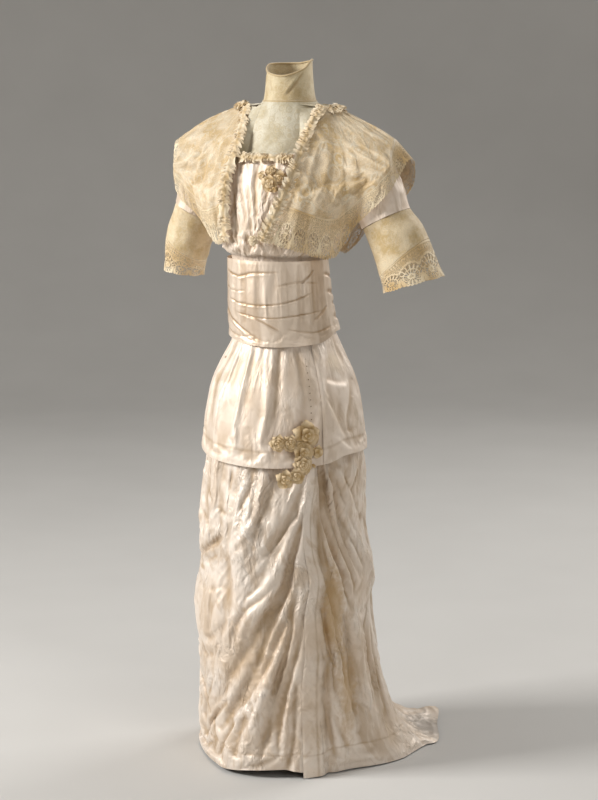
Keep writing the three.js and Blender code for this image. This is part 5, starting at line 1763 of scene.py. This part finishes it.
            noise = SoftNoise(71 + number)
            sheet = Sheet(net_surface, 110, 42)
            given = sheet.points
            free = sheet.between(0.1) * sheet.inside(0.03)
            soft = 1.4 * noise.ridge(sheet.u * 18 + noise.at(sheet.v * 3, 1), sheet.v * 2)
            soft = soft * smooth(sheet.v, 0.1, 0.5)
            sheet.push((soft + 0.7 * noise.at(sheet.u * 30, sheet.v * 8)) * free)
            Settling(spare_down=0.05, radius=150, reach=5, bending=0.05).settle(sheet, 1 - free)
            # Painted shade in the net's own hollows, with the tan of age.
            sheet.shade_hollows(given, 2.5, 3).refined()
            piece = sheet.build(f"net_over_bodice_{word}")
            finish_piece(piece, net, [f"bolero_{word}"], Cut(width, length, Hold.DRAPED, net_area))
            border = Sheet(lace_surface, 420, 30)
            ripple = 1.6 * noise.at(border.u * 26, border.v) + 0.6 * noise.at(border.u * 70, border.v * 3)
            border.push(ripple * smooth(border.v, 0, 0.2))
            piece = border.build(f"lace_border_{word}", repeat=(count, 1))
            finish_piece(piece, lace, [f"lace_edge_{word}"], Cut(width, 0.09, Hold.DRAPED, lace_area))


# --- ruched strips


@dataclass
class Ruche:
    """Strip gathered down its middle so that both its edges frill."""

    word: str
    length: float
    middle: Callable[[Array], Array]
    beside: Callable[[Array], Array]
    seed: int
    width: float = 24
    lift: float = 5
    gather: float = 7.5

    def build(self, silk: Finish) -> None:
        """Makes the strip."""
        columns = int(self.length * 1.9)
        rows = 14
        u = np.linspace(0, 1, columns + 1)
        line = self.middle(u)
        ahead = self.middle(u + 0.008) - self.middle(u - 0.008)
        ahead = ahead / np.linalg.norm(ahead, axis=1, keepdims=True)
        normal = np.cross(ahead, self.beside(u) - line)
        normal = normal / np.linalg.norm(normal, axis=1, keepdims=True)
        across = np.cross(ahead, normal)
        noise, second = SoftNoise(self.seed), SoftNoise(self.seed + 100)

        def surface(uu: Array, vv: Array) -> Array:
            """Points of the frilled strip, its middle held down."""
            i = np.rint(uu * columns).astype(int)
            off = (vv - 0.5) * 2
            run = uu * self.length
            phase = run / self.gather + 1.3 * noise.at(run / 17, 0)
            frill = np.abs(off) ** 1.4
            wave = np.sin(2 * np.pi * phase + 1.1 * off)
            swell = 0.6 + 0.4 * second.at(run / 9, off * 2)
            puff = 2.6 * (1 - off**2) * (0.5 + 0.5 * np.sin(2 * np.pi * phase * 0.5 + 2 * off))
            height = self.lift + puff + 4.6 * frill * wave * swell + 1.2 * second.at(run / 4, off * 2 + 7)
            uneven = 0.26 * np.sin(2 * np.pi * phase + 1.9) * frill + 0.2 * noise.at(run / 8, 5)
            spread = self.width * 0.5 * off * (0.84 + uneven)
            shift = 2.8 * frill * np.cos(2 * np.pi * phase) + 1.6 * noise.at(run / 5, off * 3)
            points = line[i] + across[i] * spread[..., None] + normal[i] * height[..., None]
            return points + ahead[i] * shift[..., None]

        sheet = Sheet(surface, columns, rows)
        off = np.abs(sheet.v - 0.5) * 2
        run = sheet.u * self.length
        # Darker toward the held-down middle, under the frills: painted shade.
        sheet.wear_and_shade = np.clip(0.75 - off + 0.3 * noise.at(run / 6, off * 3), 0, 1)
        piece = sheet.build(f"ruched_strip_{self.word}")
        cut = Cut(self.length * 1.5 * MM, self.width * 0.95 * MM, Hold.GATHERED)
        finish_piece(piece, silk, [f"ruffle_{self.word}"], cut)


# --- cloth flowers


class Bloom(Enum):
    """Kinds of cloth flower."""

    ROSETTE = "rosette"
    OPEN = "open"
    BUD = "bud"
    LEAF = "leaf"


@dataclass(frozen=True)
class Flower:
    """One cloth flower: angle and height on the body, radius, kind, how far it stands off."""

    angle: float
    height: float
    radius: float
    kind: Bloom
    lift: float = 12


@dataclass
class Corsage:
    """Cluster of cloth flowers."""

    name: str
    node: str
    flowers: tuple[Flower, ...]
    surface: Surface
    seed: int

    def build(self, ribbon: Finish) -> None:
        """Makes the cluster as one piece."""
        mesh = bmesh.new()
        wear_and_shade = []
        for number, flower in enumerate(self.flowers):
            for points, worn_and_shaded in self.petals(flower, self.seed + number):
                rows, columns = points.shape[:2]
                verts = [[mesh.verts.new(point) for point in row] for row in to_metres(points)]
                wear_and_shade.append(worn_and_shaded.ravel())
                for j in range(rows - 1):
                    for i in range(columns - 1):
                        mesh.faces.new((verts[j][i], verts[j + 1][i], verts[j + 1][i + 1], verts[j][i + 1]))
        data = bpy.data.meshes.new(self.name)
        mesh.to_mesh(data)
        mesh.free()
        values = data.attributes.new("wear_and_shade", "FLOAT", "POINT")
        values.data.foreach_set("value", np.concatenate(wear_and_shade).astype(np.float32))
        data.shade_smooth()
        finish_piece(add_object(self.name, data), ribbon, [self.node] if self.node else [])

    def petals(self, flower: Flower, seed: int) -> list[tuple[Array, Array]]:
        """Grids of points of a flower's petals, with how aged and shaded each place is."""
        base = self.surface(np.array([flower.angle]), np.array([flower.height]))[0]
        out = outward(np.array([flower.angle]))[0]
        side = np.cross((0, 0, 1), out) * -1
        up = np.array((0.0, 0.0, 1.0))
        centre = base + out * flower.lift * 0.62
        rng = np.random.default_rng(seed)
        grids = []
        for k, (ring, start, reach, rise, size) in enumerate(self.plan(flower.kind)):
            for n in range(ring):
                turn = start + TURN * (n + rng.uniform(-0.12, 0.12)) / ring
                long = flower.radius * size * rng.uniform(0.88, 1.08)
                wide = long * (0.95 if flower.kind is not Bloom.LEAF else 0.45)
                measures = (flower.radius * reach, long, wide, rise * flower.radius)
                grids.append(self.petal(centre, (side, up, out), turn, measures, rng))
        return grids

    @staticmethod
    def plan(kind: Bloom) -> tuple[tuple[int, float, float, float, float], ...]:
        """Rings of petals: count, first turn, distance from the middle, rise and size, in radii."""
        if kind is Bloom.ROSETTE:
            outer = ((7, 0.0, 0.28, 0.1, 0.68), (6, 0.4, 0.16, 0.3, 0.52))
            return (*outer, (5, 0.1, 0.06, 0.45, 0.34), (3, 0.9, 0.0, 0.55, 0.2))
        if kind is Bloom.OPEN:
            return ((5, 0.3, 0.16, 0.12, 0.88), (4, 0.9, 0.05, 0.34, 0.5), (3, 0.2, 0.0, 0.46, 0.24))
        if kind is Bloom.BUD:
            return ((4, 0.2, 0.08, 0.15, 0.75), (3, 0.8, 0.0, 0.4, 0.5))
        return ((2, 0.6, 0.1, 0.1, 1.0),)

    @staticmethod
    def petal(
        centre: Array,
        ways: tuple[Array, Array, Array],
        turn: float,
        measures: tuple[float, float, float, float],
        rng: np.random.Generator,
    ) -> tuple[Array, Array]:
        """One cupped petal with a rolled, crinkled edge.

        Args:
            centre: The flower's middle.
            ways: Unit vectors to the side, up and out of the body.
            turn: Its direction from the middle, in radians.
            measures: How far out it starts, its length, its width and its rise.
            rng: Seeded random numbers for its crinkles.

        Returns:
            Its grid of points, and how aged and shaded each is.
        """
        side, up, out = ways
        reach, long, wide, rise = measures
        steps = 9
        s, t = np.meshgrid(np.linspace(0, 1, steps), np.linspace(-1, 1, steps), indexing="ij")
        ahead = math.cos(turn) * side + math.sin(turn) * up
        beside = -math.sin(turn) * side + math.cos(turn) * up
        shape = np.sin(np.pi * np.clip(s * 0.86 + 0.08, 0, 1)) ** 0.6
        along = reach + long * s * (1 - 0.12 * t**2)
        width = wide * 0.62 * shape * t
        crinkle = rng.uniform(-1, 1, (steps, steps)) * 0.05 * long * s
        lift = rise + long * (0.42 * s - 0.62 * s**2.6 + 0.2 * t**2 * s) + crinkle
        points = centre + along[..., None] * ahead + width[..., None] * beside + lift[..., None] * out
        # Darker toward the base, painted shade deep in the flower's middle, and darker at the rolled tip.
        worn_and_shaded = np.clip(1 - s * 1.25, 0, 1) * 0.9 + np.clip(s - 0.86, 0, 1) * 3
        return points, np.clip(worn_and_shaded, 0, 1)


# --- studio


def spots(surface: Surface, rows: Sequence[tuple]) -> tuple[ColourPatch, ...]:
    """Stains that lie on a surface.

    Args:
        surface: Points of the surface by angle and height.
        rows: The angle and height of each stain, then its other fields.

    Returns:
        The stains.
    """
    return tuple(ColourPatch(tuple(surface(np.array(row[0]), np.array(row[1]))), *row[2:]) for row in rows)


def aim(thing: Piece, place: Vector, target: Vector) -> None:
    """Puts a light or camera at a place and points it at a target."""
    thing.location = place
    thing.rotation_euler = (target - place).to_track_quat("-Z", "Y").to_euler()


# Where the lights point.
LIT = Vector((0, 0, -0.45))


def build_studio() -> None:
    """Pale floor, soft lights and the camera."""
    floor_radius, rise, wall = 4.0, 3.0, 9.0
    ground = bmesh.new()
    floor_z = -SHOULDER_HEIGHT * MM
    turns = np.linspace(0, 0.5 * math.pi, 17)
    curve = [(floor_radius + rise * math.sin(t), floor_z + rise * (1 - math.cos(t))) for t in turns]
    profile = ((0.0, floor_z), *curve, (floor_radius + rise, wall))
    verts = [ground.verts.new((r, 0, z)) for r, z in profile]
    edges = [ground.edges.new(pair) for pair in zip(verts, verts[1:])]
    around = {"axis": (0, 0, 1), "cent": (0, 0, 0), "angle": TURN, "steps": 96}
    bmesh.ops.spin(ground, geom=verts + edges, use_merge=True, **around)
    bmesh.ops.remove_doubles(ground, verts=ground.verts, dist=MERGE)
    bmesh.ops.recalc_face_normals(ground, faces=ground.faces)
    floor = join_mesh("studio_floor", ground)
    g = Graph("painted studio floor")
    shade = g.noise(g.place, 3, 2)
    colour = g.colour(linear("cfccc7"), linear("c7c4bf"), shade)
    g.set(Base_Color=colour, Roughness=0.75)
    floor.data.materials.append(g.material)
    for name, place, size, power in (
        ("key_softbox", (-2.9, -2.2, 1.2), 1.3, 185),
        ("fill_softbox", (3.2, -2.0, 0.6), 1.4, 22),
        ("top_softbox", (0.4, -0.6, 2.6), 1.4, 16),
        ("back_softbox", (1.6, 3.0, 1.6), 1.6, 80),
    ):
        lamp = bpy.data.lights.new(name, "AREA")
        lamp.energy = power
        lamp.size = size
        aim(add_object(name, lamp), Vector(place), LIT)
    world = bpy.data.worlds.new("studio")
    world.use_nodes = True
    background = world.node_tree.nodes["Background"]
    background.inputs["Color"].default_value = (0.86, 0.84, 0.81, 1)
    background.inputs["Strength"].default_value = 0.14
    bpy.context.scene.world = world
    bpy.context.scene.view_settings.view_transform = "Standard"
    build_camera()


def build_camera() -> None:
    """Camera at the wearer's front left, a little above the shoulder line."""
    turn, away, height, middle, shift = math.radians(25), 3.85, 0.1, -0.578, 0.0223
    beside = Vector((math.cos(turn), math.sin(turn), 0)) * shift
    place = Vector((away * math.sin(turn), -away * math.cos(turn), height)) + beside
    target = Vector((0, 0, middle)) + beside
    lens = bpy.data.cameras.new("camera")
    lens.lens = 88.2
    lens.sensor_width = 36
    camera = add_object("camera", lens)
    aim(camera, place, target)
    bpy.context.scene.camera = camera


# --- the dress

SLEEVE_COLUMNS = "s x y z lean half deep"
LEFT_RINGS = Table(
    SLEEVE_COLUMNS,
    (0, 152, 8, 1172, 76, 66, 54), (1, 176, 5, 1152, 56, 61, 52), (2, 196, 0, 1124, 38, 55, 49),
    (3, 212, -4, 1090, 26, 50, 48), (4, 234, -5, 1056, 25, 55, 54), (5, 250, -5, 1018, 23, 57, 55),
    (6, 263, -5, 985, 19, 58, 56), (7, 270, -5, 966, 17, 61, 58),
)
RIGHT_RINGS = Table(
    SLEEVE_COLUMNS,
    (0, 152, 8, 1172, 76, 66, 54), (1, 174, 5, 1152, 56, 60, 52), (2, 188, 0, 1124, 38, 52, 49),
    (3, 197, -4, 1094, 26, 46, 47), (4, 210, -5, 1058, 18, 46, 50), (5, 220, -5, 1024, 12, 44, 50),
    (6, 226, -5, 988, 9, 40, 48), (7, 229, -5, 969, 9, 40, 48),
)

# Angle, height, radius, colour, strength and tallness of each stain.
SKIRT_STAINS = (
    (62, 330, 40, "bd9a66", 0.7, 3.6), (68, 160, 36, "bd9a66", 0.6, 3.2), (-6, 560, 5, "a8743a", 0.7),
    (-42, 400, 18, "b08d5a", 0.6, 0.5), (-50, 386, 9, "9c7444", 0.6, 0.6),
)
# The large grey patch is painted shade over the train where it lies on the floor; the small one is an old
# brown mark.
TRAIN_SHADE_AND_STAIN = (ColourPatch((236, 200, 12), 80, "958b80", 0.7), ColourPatch((262, 105, 28), 16, "b07a45", 0.85))
OVERSKIRT_STAINS = (
    (-50, 814, 8, "94703f", 0.8, 0.5), (-46, 775, 13, "b59b74", 0.5, 1.3),
    (-30, 778, 26, "b9a383", 0.5, 0.8), (-8, 700, 3.5, "b07a35", 0.9, 2.2),
    (-40, 646, 5, "b5843c", 0.85, 2.4), (-35, 632, 6, "b5843c", 0.85, 1.1),
    (-28, 626, 7, "b98c48", 0.8, 0.5), (78, 812, 30, "c9b698", 0.5, 0.9), (92, 700, 14, "a58c66", 0.4, 2.4),
)


@dataclass
class Dress:
    """The whole dress."""

    skirt: Skirt = field(default_factory=Skirt)
    bodice: UnderBodice = field(default_factory=UnderBodice)
    net: OverBodice = field(default_factory=OverBodice)

    def build(self) -> None:
        """Makes every piece with its material."""
        body = self.skirt.form.body
        colour_patches = (*spots(body, SKIRT_STAINS), *TRAIN_SHADE_AND_STAIN)
        satin = Satin("aged ivory silk satin", colour_patches=colour_patches).material()
        short_satin = Satin(
            "stained ivory silk satin",
            "f0e1d1",
            metallic=0.22,
            crumple=0.0007,
            painted_sheen_streaks=0.35,
            colour_patches=spots(body, OVERSKIRT_STAINS),
        ).material()
        vest = Satin("under-bodice silk satin", "f1e1d0", roughness=0.56, metallic=0.18, crumple=0.0016)
        vest_satin = vest.material()
        sash_satin = Satin("sash silk satin", "ead8c4", "94703f", 0.46, 0.35, 0.0003, 0.3).material()
        yoke_net = Net("embroidered yoke net", "dcd3bc", "c0b18f", 0.9, "cbb890", 0.019, 0.6).material()
        collar_net = Net("collar net", "dccba6", "c2a97b", 0.86, "e6d8b8", 0.024, 0.3).material()
        body_net = Net("cream over-bodice net", "eedaba", "d1b27e", 0.72, "efe6d0", 0.03, 0.6).material()
        sleeve_net = Net("cream sleeve net", "ead6b2", "caad78", 0.8, "eadfc4", 0.026, 0.3).material()
        lace = LaceBorder("scalloped border lace").material()
        cuff_lace = LaceBorder("open cuff lace", ground=0.3, bars=16.0, reach=1.4).material()
        ruching = Crepe("ruched silk crepe", "ecdcc0", "c9ae82").material()
        ribbon = Crepe("folded silk ribbon", "ead3ae", "b8965f").material()
        tape = Crepe("tan binding tape", "c4ad82", "a58b60").material()
        # Colour of the dark discs at the stitch holes: painted shadow.
        thread = Crepe("shadow of old stitch holes", "8f7a5c", "7a6648").material()
        self.skirt.build(satin)
        Overskirt(self.skirt.form).build(short_satin, thread)
        Sash().build(sash_satin)
        self.bodice.build(vest_satin)
        neck = Neck()
        neck.build(yoke_net, collar_net, tape)
        for word, side in (("left", 1), ("right", -1)):
            share = np.linspace(0.02, 0.52, 41)
            edge = self.net.surface(side, np.full_like(share, 0.12), share) - (0, 0, 1)
            piece = neck.side_net(edge, side).build(f"yoke_side_net_{word}")
            finish_piece(piece, yoke_net, cut=Cut(0.07, 0.15, Hold.STRETCHED, 0.0045))
        place = np.linspace(0, 2 * self.net.last, 161)
        rib = np.minimum(place, 2 * self.net.last - place)
        side = np.where(place <= self.net.last, -1, 1)
        edge = self.net.surface(side, rib, np.full_like(rib, 0.02)) - (0, 0, 1)
        piece = neck.shoulder_net(edge).build("yoke_shoulder_net")
        finish_piece(piece, yoke_net, cut=Cut(0.33, 0.045, Hold.STRETCHED, 0.008))
        Sleeve("left", 1, LEFT_RINGS).build(vest_satin, sleeve_net, cuff_lace)
        Sleeve("right", -1, RIGHT_RINGS).build(vest_satin, sleeve_net, cuff_lace)
        self.net.build(body_net, lace)
        self.build_ruches(ruching)
        self.build_flowers(ribbon)

    def build_ruches(self, silk: Finish) -> None:
        """Makes the ruched strips down both fronts, round the back and across the neckline."""
        net = self.net

        def up_left(u: Array, rib: float = 0.02) -> Array:
            """Points up the left front's edge."""
            return net.surface(1, np.full_like(u, rib), mix(0.99, 0.03, u))

        def down_right(u: Array, rib: float = 0.02) -> Array:
            """Points down the right front's edge."""
            return net.surface(-1, np.full_like(u, rib), mix(0.03, 0.99, u))

        def round_neck(u: Array, share: float = 0.05) -> Array:
            """Points from the left shoulder round the back to the right one."""
            rib = 1.4 + 2 * (net.last - 1.4) * u
            near = np.where(rib <= net.last, rib, 2 * net.last - rib)
            return net.surface(np.where(rib <= net.last, 1, -1), near, np.full_like(u, share))

        def neckline(u: Array, rise: float = 0) -> Array:
            """Points across the neckline."""
            return self.bodice.surface(mix(-24, 21, u), np.full_like(u, 1204 + rise))

        end = Flower(-1, 1052, 12, Bloom.ROSETTE, 20)
        Corsage("curled_end_of_left_strip", "", (end,), self.bodice.surface, 97).build(silk)
        for seed, (word, length, middle, beside) in enumerate(
            (
                ("left", 302, up_left, lambda u: 2 * up_left(u) - up_left(u, 0.32)),
                ("right", 290, down_right, lambda u: 2 * down_right(u) - down_right(u, 0.32)),
                ("back", 325, round_neck, lambda u: 2 * round_neck(u) - round_neck(u, 0.15)),
                ("neck", 113, neckline, lambda u: neckline(u, 12)),
            ),
            81,
        ):
            Ruche(word, length, middle, beside, seed).build(silk)

    def build_flowers(self, ribbon: Finish) -> None:
        """Makes both clusters of flowers."""
        at_neck = (
            Flower(8, 1181, 15, Bloom.ROSETTE),
            Flower(15, 1170, 15, Bloom.OPEN),
            Flower(8, 1160, 18, Bloom.OPEN),
            Flower(1, 1174, 11, Bloom.BUD),
            Flower(12, 1150, 11, Bloom.BUD),
        )
        Corsage("flowers_at_neckline", "corsage_neck", at_neck, self.bodice.surface, 91).build(ribbon)
        on_skirt = (
            Flower(22, 668, 19, Bloom.ROSETTE, 20),
            Flower(30, 668, 18, Bloom.ROSETTE, 20),
            Flower(40.5, 684, 29, Bloom.OPEN, 21),
            Flower(36, 664, 17, Bloom.OPEN, 20),
            Flower(47.5, 650, 18, Bloom.BUD, 21),
            Flower(38.5, 650, 21, Bloom.OPEN, 20),
            Flower(38, 627, 22, Bloom.ROSETTE, 21),
            Flower(34, 606, 17, Bloom.OPEN, 21),
            Flower(44, 628, 12, Bloom.LEAF, 20),
            Flower(27, 600, 19, Bloom.OPEN, 20),
        )
        corsage = Corsage("flowers_at_overskirt_point", "corsage_skirt", on_skirt, self.skirt.form.body, 95)
        corsage.build(ribbon)


def main() -> None:
    """Builds the dress and its studio."""
    build_studio()
    Dress().build()


if __name__ == "__main__":
    main()
